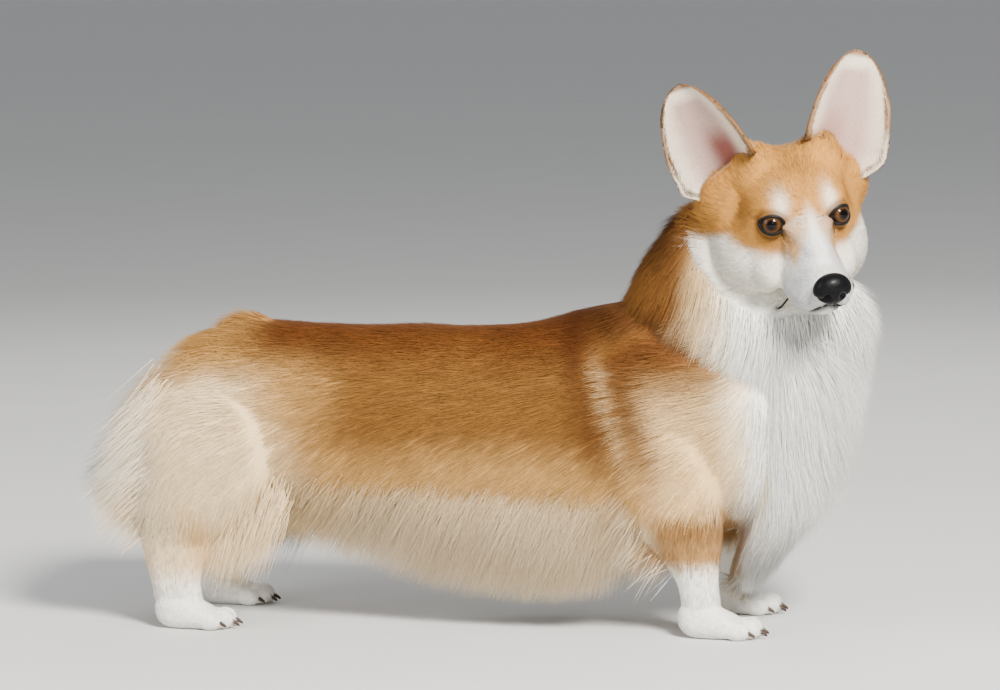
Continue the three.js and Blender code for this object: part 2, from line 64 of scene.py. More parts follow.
# Sizes shared with the solids
BACK = 288.0
CHEST_HALF = 100.0
LOIN_HALF = 90.0
FORE_OUT, HIND_OUT = 66.0, 68.0
FORE_X, HIND_X = 208.0, -292.0
PAW_HEIGHT = 34.0
EYE_RADIUS = 11.5
EYE_AT = np.array([33.0, 30.5, 14.0])
GAZE, GAZE_UP = 22.0, 15.0
NOSE_AT = np.array([109.0, 0.0, -19.0])
EAR_LENGTH, EAR_HALF = 108.0, 40.0
EAR_LEAN = {-1: 27.0, 1: 14.0}
EAR_TURN = {-1: 30.0, 1: 2.0}
HEAD_AT = np.array([295.0, -57.0, 387.0])
HEAD_TURN = (7.0, 23.0, -62.0)  # roll, pitch, yaw in degrees

HEAD_ROT = np.array(Euler([math.radians(a) for a in HEAD_TURN], "XYZ").to_matrix())

# Each station is x, z, x, z, half width, y: a point of the form's first outline, the one
# opposite on the second, half the width there and how far to the left it lies
TORSO = dict(
    stations=[
        [-337, 232, -337, 140, 66, 0],
        [-288, 274, -288, 118, 92, 0],
        [-225, BACK + 1, -225, 110, 95, 0],
        [-150, BACK - 2, -150, 103, LOIN_HALF, 0],
        [-60, BACK - 2, -60, 92, LOIN_HALF + 1, 0],
        [30, BACK, 30, 80, 95, 0],
        [110, BACK + 18, 110, 72, CHEST_HALF, 0],
        [180, BACK + 34, 180, 76, CHEST_HALF, 0],
        [255, BACK + 14, 255, 92, 88, 0],
        [322, 268, 322, 128, 62, 0],
    ],
    caps=(0.11, 0.12), square=2.35, pear=0.06,
)
NECK = dict(
    stations=[
        [332, 178, 88, 262, 90, 0],
        [361, 240, 132, 306, 90, 0],
        [369, 296, 150, 344, 74, -8],
        [352, 336, 180, 380, 54, -22],
        [318, 376, 204, 410, 44, -30],
    ],
    caps=(0.2, 0.2), square=2.3, pear=0.0,
)
TAIL = dict(
    stations=[
        [-205, BACK + 2, -205, BACK - 24, 14, 0],
        [-235, BACK + 6, -235, BACK - 18, 15, 0],
        [-262, BACK, -258, BACK - 22, 12, 0],
    ],
    caps=(0.3, 0.5), square=2.3, pear=0.0,
)
BREECHES = dict(
    stations=[
        [-240, 282, -240, 250, 70, 0],
        [-312, 256, -290, 215, 84, 0],
        [-368, 190, -300, 150, 92, 0],
        [-391, 135, -300, 118, 92, 0],
        [-374, 100, -300, 106, 86, 0],
    ],
    caps=(0.2, 0.25), square=2.3, pear=0.0,
)
BIB = dict(
    stations=[
        [328, 300, 250, 300, 74, 0],
        [362, 262, 250, 262, 84, 0],
        [354, 190, 240, 190, 84, 0],
        [338, 120, 240, 120, 74, 0],
        [276, 62, 232, 84, 50, 0],
        [250, 26, 226, 50, 30, 0],
    ],
    caps=(0.2, 0.12), square=2.3, pear=0.0,
)
FORELEG = dict(
    stations=[
        [FORE_X + 6, 225, FORE_X - 92, 215, 34, -60],
        [FORE_X + 24, 168, FORE_X - 84, 152, 38, -FORE_OUT],
        [FORE_X + 26, 122, FORE_X - 66, 106, 35, -FORE_OUT - 4],
        [FORE_X + 23, 86, FORE_X - 42, 76, 26, -FORE_OUT - 2],
        [FORE_X + 20, 56, FORE_X - 24, 48, 20, -FORE_OUT],
        [FORE_X + 22, 18, FORE_X - 18, 14, 18, -FORE_OUT],
    ],
    caps=(0.15, 0.05), square=2.3, pear=0.0,
)
HIND_LEG = dict(
    stations=[
        [HIND_X + 90, 240, HIND_X - 20, 240, 38, -56],
        [HIND_X + 106, 192, HIND_X - 38, 192, 46, -60],
        [HIND_X + 100, 146, HIND_X - 40, 148, 45, -64],
        [HIND_X + 76, 106, HIND_X - 38, 104, 37, -HIND_OUT],
        [HIND_X + 42, 78, HIND_X - 34, 72, 25, -HIND_OUT],
        [HIND_X + 27, 46, HIND_X - 26, 40, 19, -HIND_OUT],
        [HIND_X + 30, 14, HIND_X - 20, 14, 18, -HIND_OUT],
    ],
    caps=(0.15, 0.05), square=2.3, pear=0.0,
)
# Lumps of the head as x, y, z and radii, each with its mirror image, which run together
HEAD_LUMPS = [
    (-10, 0, 0, 62, 57, 60),
    (40, 0, 9, 24, 20, 15),
    (62, 0, 0, 26, 15, 12),
    (-14, 47, -36, 46, 27, 40),
    (28, 35, -34, 28, 15, 22),
    (-20, 30, 38, 24, 25, 30),
    (-27, 56, 11, 24, 25, 30),
    (26, 26, 26, 16, 12, 9),
]
HEAD_MIDDLE = np.array([-4.0, 0.0, -6.0])
MELT = 5.0
MUZZLE = dict(
    stations=[
        [28, 8, 24, -58, 28, 0],
        [54, 8, 50, -58, 31, 0],
        [80, 1, 76, -57, 27, 0],
        [108, -5, 100, -52, 20, 0],
    ],
    caps=(0.1, 0.22), square=2.4, pear=0.1,
)
TOES = [(36, -16, 9.5), (45, -6, 10.5), (45, 6, 10.5), (36, 16, 9.5)]
CLAW = dict(length=16.0, root=2.9, tip=1.1, height=7.5)
PIECES = {}
SIDES = {-1: "right", 1: "left"}

VOXEL = 0.0022  # of the skin's remesh, metres
EASE_ROUNDS = 40
BAKE_PATCH = 0.003  # a tuft's patch on its UV map
TUFTS = dict(
    body=19000, legs=15000, head=30000, ear=13000,
    breeches=24000, bib=24000, ruff=34000, belly=27000,
)
FLOOR_HALF = 45


def paw(x, out):
    return dict(
        stations=[
            [x - 22, PAW_HEIGHT, x - 20, 1, 15, -out],
            [x, PAW_HEIGHT + 2, x, -3, 20, -out],
            [x + 24, PAW_HEIGHT - 8, x + 24, -3, 23, -out],
            [x + 42, 16, x + 42, -3, 20, -out],
        ],
        caps=(0.25, 0.25), square=2.6, pear=0.0,
    )


def between(stations, t):
    """A smooth value between stations for every t from 0 to 1."""
    table = np.asarray(stations, float)
    last = len(table) - 1
    at = np.clip(t, 0, 1) * last
    i = np.minimum(at.astype(int), last - 1)
    u = (at - i)[..., None]
    a, b, c, d = (table[np.clip(i + k, 0, last)] for k in (-1, 0, 1, 2))
    slope, after = (c - a) / 2, (d - b) / 2
    gain = 3 * (c - b) - 2 * slope - after
    curl = 2 * (b - c) + slope + after
    return b + u * (slope + u * (gain + u * curl))


def form_points(form, t, angle, inset=0.0):
    """Points of a form's surface, drawn in by the depth of its coat."""
    v = between(form["stations"], t)
    caps = form["caps"]
    share = np.minimum(np.minimum(t / caps[0], (1 - t) / caps[1]), 1)
    dome = np.sqrt(np.clip(1 - (1 - share) ** 2, 0, None))
    lobe = lambda w: np.sign(w) * np.abs(w) ** (2 / form["square"])
    tall = np.hypot(v[..., 0] - v[..., 2], v[..., 1] - v[..., 3]) / 2 + 1e-6
    up = lobe(np.cos(angle)) * dome * np.clip(1 - inset / tall, 0.05, 1)
    side = lobe(np.sin(angle)) * dome * (1 - form["pear"] * np.cos(angle))
    return np.stack(
        [
            (v[..., 0] + v[..., 2]) / 2 + (v[..., 0] - v[..., 2]) / 2 * up,
            v[..., 5] + np.maximum(v[..., 4] - inset, 1.0) * side,
            (v[..., 1] + v[..., 3]) / 2 + (v[..., 1] - v[..., 3]) / 2 * up,
        ],
        -1,
    )


def core_of(form, front, sides):
    """The flesh under a long coat: a form with its first outline and sides drawn in."""
    stations = [
        [a + (c - a) * front, b + (d - b) * front, c, d, half * sides, y]
        for a, b, c, d, half, y in form["stations"]
    ]
    return dict(form, stations=stations)


BREECHES_CORE = core_of(BREECHES, 0.45, 0.78)
BIB_CORE = core_of(BIB, 0.28, 0.84)
NECK_CORE = core_of(NECK, 0.07, 0.92)


def to_body(points):
    """From the head's own frame to the dog's."""
    return points @ HEAD_ROT.T + HEAD_AT


def to_head(points):
    return (points - HEAD_AT) @ HEAD_ROT


def to_frame(points):
    """From the dog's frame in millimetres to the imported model's in metres."""
    return (points + SHIFT) * MM


def to_dog(points):
    return points / MM - SHIFT


def coords(mesh):
    flat = np.empty(len(mesh.vertices) * 3, np.float64)
    mesh.vertices.foreach_get("co", flat)
    return flat.reshape(-1, 3)


def set_coords(mesh, points):
    mesh.vertices.foreach_set("co", np.asarray(points, np.float32).ravel())
    mesh.update()


def triangles(mesh):
    mesh.calc_loop_triangles()
    index = np.empty(len(mesh.loop_triangles) * 3, np.int32)
    mesh.loop_triangles.foreach_get("vertices", index)
    return index.reshape(-1, 3)


def normals(mesh):
    flat = np.empty(len(mesh.vertices) * 3, np.float32)
    mesh.vertices.foreach_get("normal", flat)
    return flat.reshape(-1, 3).astype(float)


def unit(v):
    return v / np.maximum(np.linalg.norm(v, axis=-1, keepdims=True), 1e-9)


def ramp(x, low, high):
    """0 below low, 1 above high and a smooth step between."""
    s = np.clip((x - low) / (high - low), 0, 1)
    return s * s * (3 - 2 * s)


def blob(p, centre, radii):
    """1 at a centre, fading to 0 around it."""
    d = (p - np.asarray(centre, float)) / np.asarray(radii, float)
    return np.exp(-(d * d).sum(-1))


def wave(p, scale, seed=0):
    """A cheap smooth noise from -1 to 1, the same for every run."""
    rng = np.random.default_rng(1000 + seed)
    total = np.zeros(len(p))
    for _ in range(7):
        k = rng.normal(size=3)
        k *= rng.uniform(0.6, 1.5) / np.linalg.norm(k) * (2 * np.pi / scale)
        total += np.sin(p @ k + rng.uniform(0, 2 * np.pi))
    return total / 3.2


def sphere_bmesh(place, around=32, rings=24):
    """A UV sphere whose unit vertices a function moves into place."""
    bm = bmesh.new()
    bmesh.ops.create_uvsphere(bm, u_segments=around, v_segments=rings, radius=1)
    points = place(np.array([v.co for v in bm.verts]))
    for v, p in zip(bm.verts, points):
        v.co = p
    if bm.calc_volume(signed=True) < 0:
        bmesh.ops.reverse_faces(bm, faces=bm.faces)
    bm.normal_update()
    return bm


def form_bmesh(form, inset=0.0, left=False, place=None, around=40, rings=36):
    def move(unit_points):
        t = np.arccos(np.clip(unit_points[:, 2], -1, 1)) / np.pi
        t = t - np.sin(2 * np.pi * t) * 0.08
        p = form_points(form, t, np.arctan2(unit_points[:, 1], unit_points[:, 0]), inset)
        if left:
            p[:, 1] *= -1
        return to_frame(place(p) if place else p)

    return sphere_bmesh(move, around, rings)


def ball_bmesh(at, radii, pitch=0.0, yaw=0.0, place=None):
    turn = np.array(Euler((0, math.radians(pitch), math.radians(yaw)), "XYZ").to_matrix())

    def move(unit_points):
        p = (unit_points * np.asarray(radii, float)) @ turn.T + np.asarray(at, float)
        return to_frame(place(p) if place else p)

    return sphere_bmesh(move, 24, 16)


def head_bmesh(inset):
    """The head as one surface: a sphere whose points move to where its lumps just fill it."""

    def fill(p):
        total = np.zeros(len(p))
        for x, y, z, *size in HEAD_LUMPS:
            radii = np.array(size, float) - inset
            for side in (-1, 1) if y else (1,):
                far = np.linalg.norm((p - [x, y * side, z]) / radii, axis=1)
                total += np.exp((1 - far) * np.cbrt(radii.prod()) / MELT)
        return total

    def move(way):
        inside, outside = np.full(len(way), 10.0), np.full(len(way), 150.0)
        for _ in range(24):
            middle = (inside + outside) / 2
            full = fill(HEAD_MIDDLE + way * middle[:, None]) > 1
            inside, outside = np.where(full, middle, inside), np.where(full, outside, middle)
        return to_frame(to_body(HEAD_MIDDLE + way * inside[:, None]))

    return sphere_bmesh(move, 96, 72)


def object_of(name, bms):
    """One object from several bmeshes."""
    whole = bmesh.new()
    for bm in bms:
        part = bpy.data.meshes.new("part")
        bm.to_mesh(part)
        bm.free()
        whole.from_mesh(part)
        bpy.data.meshes.remove(part)
    mesh = bpy.data.meshes.new(name)
    whole.to_mesh(mesh)
    whole.free()
    made = bpy.data.objects.new(name, mesh)
    bpy.context.scene.collection.objects.link(made)
    return made


def apply_modifiers(made):
    bpy.context.view_layer.update()
    shown = made.evaluated_get(bpy.context.evaluated_depsgraph_get())
    mesh = bpy.data.meshes.new_from_object(shown)
    old = made.data
    made.modifiers.clear()
    made.data = mesh
    bpy.data.meshes.remove(old)
    mesh.name = made.name
    return made


def finish_piece(made, material, replaced=()):
    """Smooth shading, its material, and its place on the frame."""
    made.data.polygons.foreach_set("use_smooth", [True] * len(made.data.polygons))
    made.data.materials.clear()
    made.data.materials.append(material)
    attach(made, "root")
    if replaced:
        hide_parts(*replaced)
    PIECES[made.name] = made
    return made


def paint(mesh, colours, name="Coat"):
    layer = mesh.color_attributes.new(name, "FLOAT_COLOR", "POINT")
    rgba = np.ones((len(mesh.vertices), 4), np.float32)
    rgba[:, :3] = np.clip(colours, 0, 1)
    layer.data.foreach_set("color", rgba.ravel())


# Colours of the coat, linear
WHITE = np.array([0.90, 0.88, 0.81])
CREAM = np.array([0.80, 0.64, 0.42])
PALE_TAN = np.array([0.56, 0.31, 0.095])
TAN = np.array([0.185, 0.080, 0.017])
RED = np.array([0.095, 0.027, 0.005])
DARK = np.array([0.030, 0.008, 0.002])
# SHADE is painted shade, laid over the coat where shade falls
SHADE = np.array([0.52, 0.52, 0.50])
PINK = np.array([0.58, 0.40, 0.34])
HEAD_TAN = np.array([0.44, 0.20, 0.040])
BLACK = np.array([0.006, 0.005, 0.005])
CANAL = np.array([0.24, 0.075, 0.06])


def mix(a, b, amount):
    return a + (b - a) * np.clip(amount, 0, 1)[:, None]


def lay(colour, over, amount):
    """Lays one colour over others by a share, in place."""
    colour += (over - colour) * np.clip(amount, 0, 1)[:, None]


# How far ahead the white of the ruff and bib begins, by height
RUFF_EDGE = np.array(
    [
        [60, 256], [200, 264], [259, 260], [277, 250], [294, 242],
        [320, 234], [341, 236], [377, 247], [400, 262],
    ],
    float,
)


def body_marks(p):
    """The colour of the coat on the body and legs, from points in the dog's frame."""
    x, y, z = p.T
    soft = wave(p, 120, 1) * 4 + wave(p, 34, 3) * 2.5
    flat = p * [1, 0, 1]
    colour = np.tile(TAN, (len(p), 1))
    # darker along the back, paler down the sides
    lay(colour, RED, ramp(z + soft, 228, 286) * 0.9)
    lay(colour, PALE_TAN, ramp(-z - soft, -198, -142) * 0.9)
    lay(colour, CREAM, ramp(-z - soft, -136, -96) * 0.85)
    lay(colour, WHITE, ramp(-z - soft, -88, -52) * 0.45)
    # pale shoulder and arm
    arm = ramp(x + soft, 158, 196) * ramp(-z, -262, -205)
    lay(colour, CREAM * [0.92, 0.76, 0.54], arm * 0.9)
    # dark withers, and the pale streak behind the shoulder between two dark ones
    along = x + (z - 200) * 0.2
    streak = ramp(z, 128, 185)
    lay(colour, RED * 0.8, np.exp(-(((along - 127) / 15) ** 2)) * streak * 0.6)
    lay(colour, RED * 0.9, np.exp(-(((along - 175) / 12) ** 2)) * streak * 0.55)
    pale = np.exp(-(((along - 151) / 6.5) ** 2)) * streak * ramp(-z, -290, -262)
    lay(colour, CREAM * [0.82, 0.68, 0.5], pale * 0.55)
    # the rump and thigh, palest behind
    rump = ramp(-x + soft, 95, 195) * ramp(-z, -278, -228)
    lay(colour, PALE_TAN, rump * 0.85)
    back = -x + soft + 0.6 * np.clip(220 - z, 0, 90)
    lay(colour, CREAM * [1.06, 0.99, 0.88], ramp(back, 160, 240) * ramp(-z - soft, -266, -222) * 0.9)
    lay(colour, PALE_TAN * [0.95, 0.9, 0.8], ramp(-x + soft, 180, 240) * ramp(z, 236, 258) * 0.6)
    lay(colour, CREAM, ramp(-x + soft, 262, 300) * 0.85)
    lay(colour, WHITE, ramp(-x + soft, 285, 335) * ramp(-z, -272, -235) * 0.9)
    # painted shade over the back of the breeches
    lay(colour, SHADE * 0.8, ramp(-x, 318, 360) * 0.85)
    # neck: tan sides with painted shadow over the nape and behind the ear, a pale band, then the white ruff
    # and bib in front, with painted shade low on the bib and under the chin
    neck = ramp(z - 0.55 * (x - 110), 225, 262) * ramp(x, 110, 150)
    lay(colour, TAN * 1.6, neck * 0.8)
    lay(colour, RED, blob(flat, (200, 0, 300), (48, 1, 15)) * 0.7)
    lay(colour, DARK, blob(flat, (150, 0, 304), (58, 1, 20)) * 0.85)
    # painted shadow over the nape
    lay(colour, DARK, blob(p * [1, 0.5, 1], (178, 0, 374), (34, 60, 56)) * 0.9)
    edge = np.interp(z, RUFF_EDGE[:, 0], RUFF_EDGE[:, 1])
    lay(colour, PALE_TAN * [1.1, 1.35, 2.2], ramp(x + soft * 0.5, edge - 50, edge - 22) * ramp(z, 270, 300))
    lay(colour, CREAM, ramp(x + soft * 0.5, edge - 26, edge - 6) * 0.8)
    lay(colour, WHITE, ramp(x + soft * 0.5, edge - 12, edge + 10))
    # painted shade low on the bib
    lay(colour, SHADE * 0.8, ramp(x, 215, 250) * ramp(-z, -175, -85) * 0.8)
    # painted shadow behind the ear
    lay(colour, DARK, blob(flat, (197, 0, 400), (20, 1, 15)) * 0.7)
    # painted shadow cast under the chin
    lay(colour, SHADE, blob(flat, (312, 0, 288), (46, 1, 22)) * 0.7)
    # forelegs tan above and white below
    fore = ramp(x, 118, 150) * ramp(np.abs(y), 22, 36) * (z < 150)
    tan = fore * ramp(z, 56, 76) * ramp(-z, -136, -112) * ramp(x, 158, 180) * ramp(-x, -254, -236)
    lay(colour, PALE_TAN * [0.5, 0.42, 0.36], tan * 0.85)
    lay(colour, TAN, blob(flat, (206, 0, 112), (34, 1, 11)) * tan * 0.6)
    lay(colour, WHITE, fore * ramp(-z, -76, -54))
    # hind legs: a faint tan stripe down a pale leg
    hind = ramp(-x, 190, 215)
    lay(colour, CREAM * [1.0, 0.93, 0.82], hind * ramp(-z, -180, -110) * 0.8)
    lay(colour, PALE_TAN * 1.2, hind * blob(flat, (-262, 0, 92), (16, 1, 34)) * 0.6)
    lay(colour, WHITE, hind * ramp(-z, -66, -28))
    return colour


def head_marks(q):
    """The colour of the coat on the head, from points in the head's own frame."""
    x, y, z = q.T
    ay = np.abs(y)
    soft = wave(q, 30, 2) * 2
    colour = np.tile(HEAD_TAN, (len(q), 1))
    lay(colour, RED * 1.2, ramp(-x, 12, 52) * 0.75)
    lay(colour, TAN * 1.1, blob(q * [1, 0, 1] + ay[:, None] * [0, 1, 0], (8, 52, 20), (18, 14, 16)) * 0.6)
    lay(colour, TAN * 1.15, blob(q, (14, 0, 62), (22, 16, 16)) * 0.6)
    # white cheeks and throat, from just under the eye, their white dulled by painted shade
    low = z + 8 - 0.45 * np.minimum(x, 8) + 0.12 * np.maximum(x - 8, 0) + soft
    ahead = ramp(x + 0.5 * np.minimum(z + 30, 0), -40, -14)
    lay(colour, WHITE * [0.80, 0.77, 0.72], ramp(-low, -2, 9) * ahead)
    # tan under the eye
    for side in (-1, 1):
        eye = EYE_AT * [1, side, 1]
        lay(colour, HEAD_TAN * 0.8, blob(q, eye + [2, side * 3, -15], (19, 12, 13)) * 0.85)
    # the white muzzle, greyed by painted shade, and the blaze between the eyes
    front = x - 1.05 * np.maximum(ay - 12, 0) * ramp(z, -30, -6) + soft
    lay(colour, WHITE * [0.55, 0.57, 0.61], ramp(front, 54, 72))
    for side in (-1, 1):
        # painted shade on the sides of the muzzle
        lay(colour, WHITE * 0.66, blob(q, (60, side * 26, -14), (12, 8, 11)) * 0.8)
        lay(colour, CREAM * [0.75, 0.55, 0.36], blob(q, (52, side * 18, 7), (11, 6, 14)) * 0.7)
    blaze = np.exp(-((ay / (3.5 + 5.5 * ramp(x, 40, 70))) ** 2)) * ramp(x, 36, 54)
    lay(colour, WHITE * 0.95, blaze * 0.8)
    for side in (-1, 1):
        eye = EYE_AT * [1, side, 1]
        lay(colour, WHITE * [1, 0.93, 0.82], blob(q, eye + [8, -side * 7.5, 22], (13, 7.5, 14)) * 0.9)
        lay(colour, TAN * 1.2, blob(q, eye + [-10, side * 22, 1], (13, 9, 5)) * 0.6)
        lay(colour, TAN * 1.6, blob(q, eye + [6, side * 2, -17], (13, 10, 6)) * 0.5)
        rim = np.linalg.norm(q - eye, axis=1)
        lay(colour, DARK, ramp(-rim, -17.5, -14) * 0.6)
        lay(colour, BLACK, blob(q, eye + [9.5, -side * 12, -3.5], (6, 4.4, 3.2)) * 0.9)
        lay(colour, BLACK, blob(q, eye + [-4, side * 14, 3], (6, 4, 2.6)) * 0.7)
    # painted shade above the nose and along the mouth, and the dark lips
    lay(colour, SHADE * 0.5, blob(q, (104, 0, -4), (11, 12, 8)) * 0.75)
    d = mouth_distance(q)
    lay(colour, SHADE * 0.35, ramp(-d, -7.5, -3.0) * 0.6)
    lay(colour, BLACK, ramp(-d, -3.4, -1.6) * 0.9)
    for side in (-1, 1):
        lay(colour, DARK, blob(q, (51, side * 28, -66), (8, 7, 6)) * 0.9)
    return colour


# The line between the lips, from the front back, which build_skin seats on the skin
MOUTH = np.array(
    [[112, 0, -42], [107, 9, -46], [97, 16, -51], [84, 21, -56], [66, 26, -63], [47, 29, -68]],
    float,
)


def mouth_distance(q):
    """How far a point is from the line between the lips."""
    p = q.astype(float)
    p[:, 1] = np.abs(p[:, 1])
    best = np.full(len(p), 1e9)
    for a, b in zip(MOUTH[:-1], MOUTH[1:]):
        s = np.clip(((p - a) @ (b - a)) / ((b - a) @ (b - a)), 0, 1)
        best = np.minimum(best, np.linalg.norm(p - a - s[:, None] * (b - a), axis=1))
    return best


def head_share(p):
    """1 on the head and 0 on the body, from points in the dog's frame."""
    q = to_head(p)
    skull = np.linalg.norm((q - [-8, 0, -8]) / [82, 86, 80], axis=1)
    muzzle = np.linalg.norm((q - [64, 0, -24]) / [66, 46, 46], axis=1)
    return 1 - ramp(np.minimum(skull, muzzle), 1.0, 1.1)


def marks(p):
    share = head_share(p)
    return mix(body_marks(p), head_marks(to_head(p)), share)


# the skin takes the coat's colour, darkened as painted shade under the coat
def mark_skin(p):
    return marks(p) * 0.9


# The skin: one closed surface through all the forms, then shaped


def eye_frame(side):
    """The directions an eye looks, to its outer corner and up, in the head's frame."""
    turn = math.radians(GAZE)
    rise = math.radians(GAZE_UP)
    level = np.array([math.cos(turn), side * math.sin(turn), 0.0])
    outer = np.array([-math.sin(turn), side * math.cos(turn), 0.0])
    gaze = level * math.cos(rise) + np.array([0, 0, math.sin(rise)])
    up = np.array([0, 0, math.cos(rise)]) - level * math.sin(rise)
    tilt = math.radians(5)
    return gaze, outer * math.cos(tilt) + up * math.sin(tilt), up * math.cos(tilt) - outer * math.sin(tilt)


def opening(phi):
    """The angle from the gaze to the edge of the lids, all round the eye."""
    wide = math.radians(67)
    tall = np.where(np.sin(phi) > 0, math.radians(39) - math.radians(6) * np.cos(phi), math.radians(33))
    p = 1.7
    return (np.abs(np.cos(phi) / wide) ** p + np.abs(np.sin(phi) / tall) ** p) ** (-1 / p)


def past_lids(q, side):
    """From an eye's middle: the way to each point, how far, the angle off the gaze and past the lids."""
    gaze, outer, up = eye_frame(side)
    v = q - EYE_AT * [1, side, 1]
    r = np.linalg.norm(v, axis=1)
    theta = np.arccos(np.clip(unit(v) @ gaze, -1, 1))
    phi = np.arctan2(v @ up, v @ outer)
    return v, r, theta, phi, np.degrees(theta - opening(phi))


def shape_head(q, n):
    """The sockets, brows, stop, cheekbones, whisker pads and lips of the head."""
    q = q.copy()
    moves = [
        ((34, 27, 31), (13, 11, 8), (0.6, 0.3, 0.6)),
        ((30, 45, -6), (16, 8, 10), (0, 2.0, 0.5)),
        ((52, 28, -10), (14, 8, 12), (0, -3.0, 0)),
        ((88, 17, -30), (13, 9, 9), (1.0, 2.4, 0)),
        ((5, 56, 24), (20, 9, 14), (0, -3.0, 0)),
        ((74, 20, -10), (16, 8, 8), (0, -1.6, 0)),
    ]
    for at, radii, push in moves:
        for side in (-1, 1):
            weight = blob(q, np.array(at) * [1, side, 1], radii)[:, None]
            q += weight * np.array(push) * [1, side, 1]
    q += blob(q, (24, 0, 54), (30, 5, 14))[:, None] * np.array([0, 0, -2.0])
    q += blob(q, (96, 0, -58), (13, 12, 9))[:, None] * np.array([4.0, 0, -4.0])
    d = mouth_distance(q)
    front = ramp(q[:, 0], 44, 58)
    q -= n * (2.6 * np.exp(-((d / 1.9) ** 2)) * front)[:, None]
    q += n * (1.0 * np.exp(-(((d - 4.5) / 2.2) ** 2)) * front)[:, None]
    groove = np.exp(-((q[:, 1] / 1.1) ** 2)) * ramp(q[:, 0], 98, 104)
    groove = groove * ramp(-q[:, 2], 26, 30) * ramp(q[:, 2], -42, -38)
    q -= n * (1.6 * groove)[:, None]
    for side in (-1, 1):
        v, r, theta, phi, past = past_lids(q, side)
        lid = 1.2 * np.clip(np.sin(phi), 0, 1)
        depth = np.interp(past, [0, 8, 14, 60], [-2.5, -2.0, 0.8, 2.4])
        target = EYE_RADIUS + depth + lid * ramp(past, 12, 30)
        hold = (1 - ramp(past, 16, 46)) * (r < 34) * (theta < math.radians(115))
        r2 = r + (target - r) * hold
        q = EYE_AT * [1, side, 1] + v * (r2 / np.maximum(r, 1e-6))[:, None]
    return q


def build_skin(material):
    parts = [
        form_bmesh(TORSO, 7, around=64, rings=72),
        form_bmesh(BREECHES_CORE, 4, around=48),
        form_bmesh(BIB_CORE, 4, around=48),
        form_bmesh(NECK_CORE, 6, around=64, rings=48),
        form_bmesh(TAIL, 3),
        head_bmesh(2),
        form_bmesh(MUZZLE, 2.5, place=to_body, around=64, rings=48),
    ]
    for side in (-1, 1):
        left = side > 0
        parts += [form_bmesh(FORELEG, 3, left), form_bmesh(HIND_LEG, 3, left)]
        parts.append(ball_bmesh((74, side * 19, -36), (26, 10, 13), 6, -side * 10, place=to_body))
        for x, out in ((FORE_X, FORE_OUT), (HIND_X, HIND_OUT)):
            parts.append(form_bmesh(paw(x, out), 2, left))
            for ahead, lean, r in TOES:
                at = (x + ahead, side * (out - lean), r - 1.5)
                parts.append(ball_bmesh(at, (r + 1.5, r - 1.8, r - 0.5)))
    skin = object_of("skin", parts)
    remesh = skin.modifiers.new("remesh", "REMESH")
    remesh.mode = "VOXEL"
    remesh.voxel_size = VOXEL
    apply_modifiers(skin)
    points = to_dog(coords(skin.data))
    head = head_share(points)
    paws = ramp(-points[:, 2], -46, -30)
    q = to_head(points)
    q[:, 1] = np.abs(q[:, 1])
    stop = np.maximum(blob(q, (46, 0, 4), (30, 34, 22)), blob(q, (46, 28, -22), (24, 14, 24)))
    weight = np.clip(1 - 0.6 * head - 0.75 * paws + 0.6 * head * stop, 0.15, 1)
    group = skin.vertex_groups.new(name="ease")
    for level in range(1, 11):
        chosen = np.nonzero(np.round(weight * 10) == level)[0]
        group.add(chosen.tolist(), level / 10, "REPLACE")
    ease = skin.modifiers.new("ease", "SMOOTH")
    ease.factor, ease.iterations, ease.vertex_group = 0.5, EASE_ROUNDS, "ease"
    apply_modifiers(skin)
    skin.vertex_groups.clear()
    tree = BVHTree.FromObject(skin, bpy.context.evaluated_depsgraph_get())
    for i, p in enumerate(to_frame(to_body(MOUTH))):
        seat = np.array(tree.find_nearest(Vector(p))[0])
        MOUTH[i] = to_head(to_dog(seat)) * [1, i > 0, 1]
    points = to_dog(coords(skin.data))
    n = normals(skin.data)
    share = head_share(points)[:, None]
    shaped = to_body(shape_head(to_head(points), n @ HEAD_ROT))
    points += (shaped - points) * share
    swell = wave(points, 90, 5) * 0.5 * (1 - share[:, 0]) * ramp(points[:, 2], 40, 90)
    points += n * swell[:, None]
    points[:, 2] = np.maximum(points[:, 2], 0.4)
    set_coords(skin.data, to_frame(points))
    paint(skin.data, mark_skin(points))
    flesh = ["barrel", "bib", "chest", "rump", "neck", "tail", "head"]
    for leg in ("foreleg", "forepaw", "hind_leg", "hind_paw"):
        flesh += [f"{leg}_{word}" for word in SIDES.values()]
    return finish_piece(skin, material, flesh)


# The face: eyes, lids, nose and the edge of the lips


def build_eye(side, material):
    gaze, outer, up = eye_frame(side)
    axes = np.stack([outer, up, gaze])

    def move(u):
        near = np.clip(u[:, 2], 0, 1)
        bulge = 0.35 * ramp(near, 0.6, 1.0)
        return to_frame(to_body((u * (EYE_RADIUS + bulge)[:, None]) @ axes + EYE_AT * [1, side, 1]))

    eye = object_of(f"eye_{SIDES[side]}_ball", [sphere_bmesh(move, 48, 40)])
    v = to_head(to_dog(coords(eye.data))) - EYE_AT * [1, side, 1]
    look = unit(gaze + up * 0.10)
    turn = np.arccos(np.clip(unit(v) @ look, -1, 1)) / math.pi
    layer = eye.data.attributes.new("Turn", "FLOAT", "POINT")
    layer.data.foreach_set("value", turn.astype(np.float32))
    return finish_piece(eye, material, [f"eye_{SIDES[side]}"])


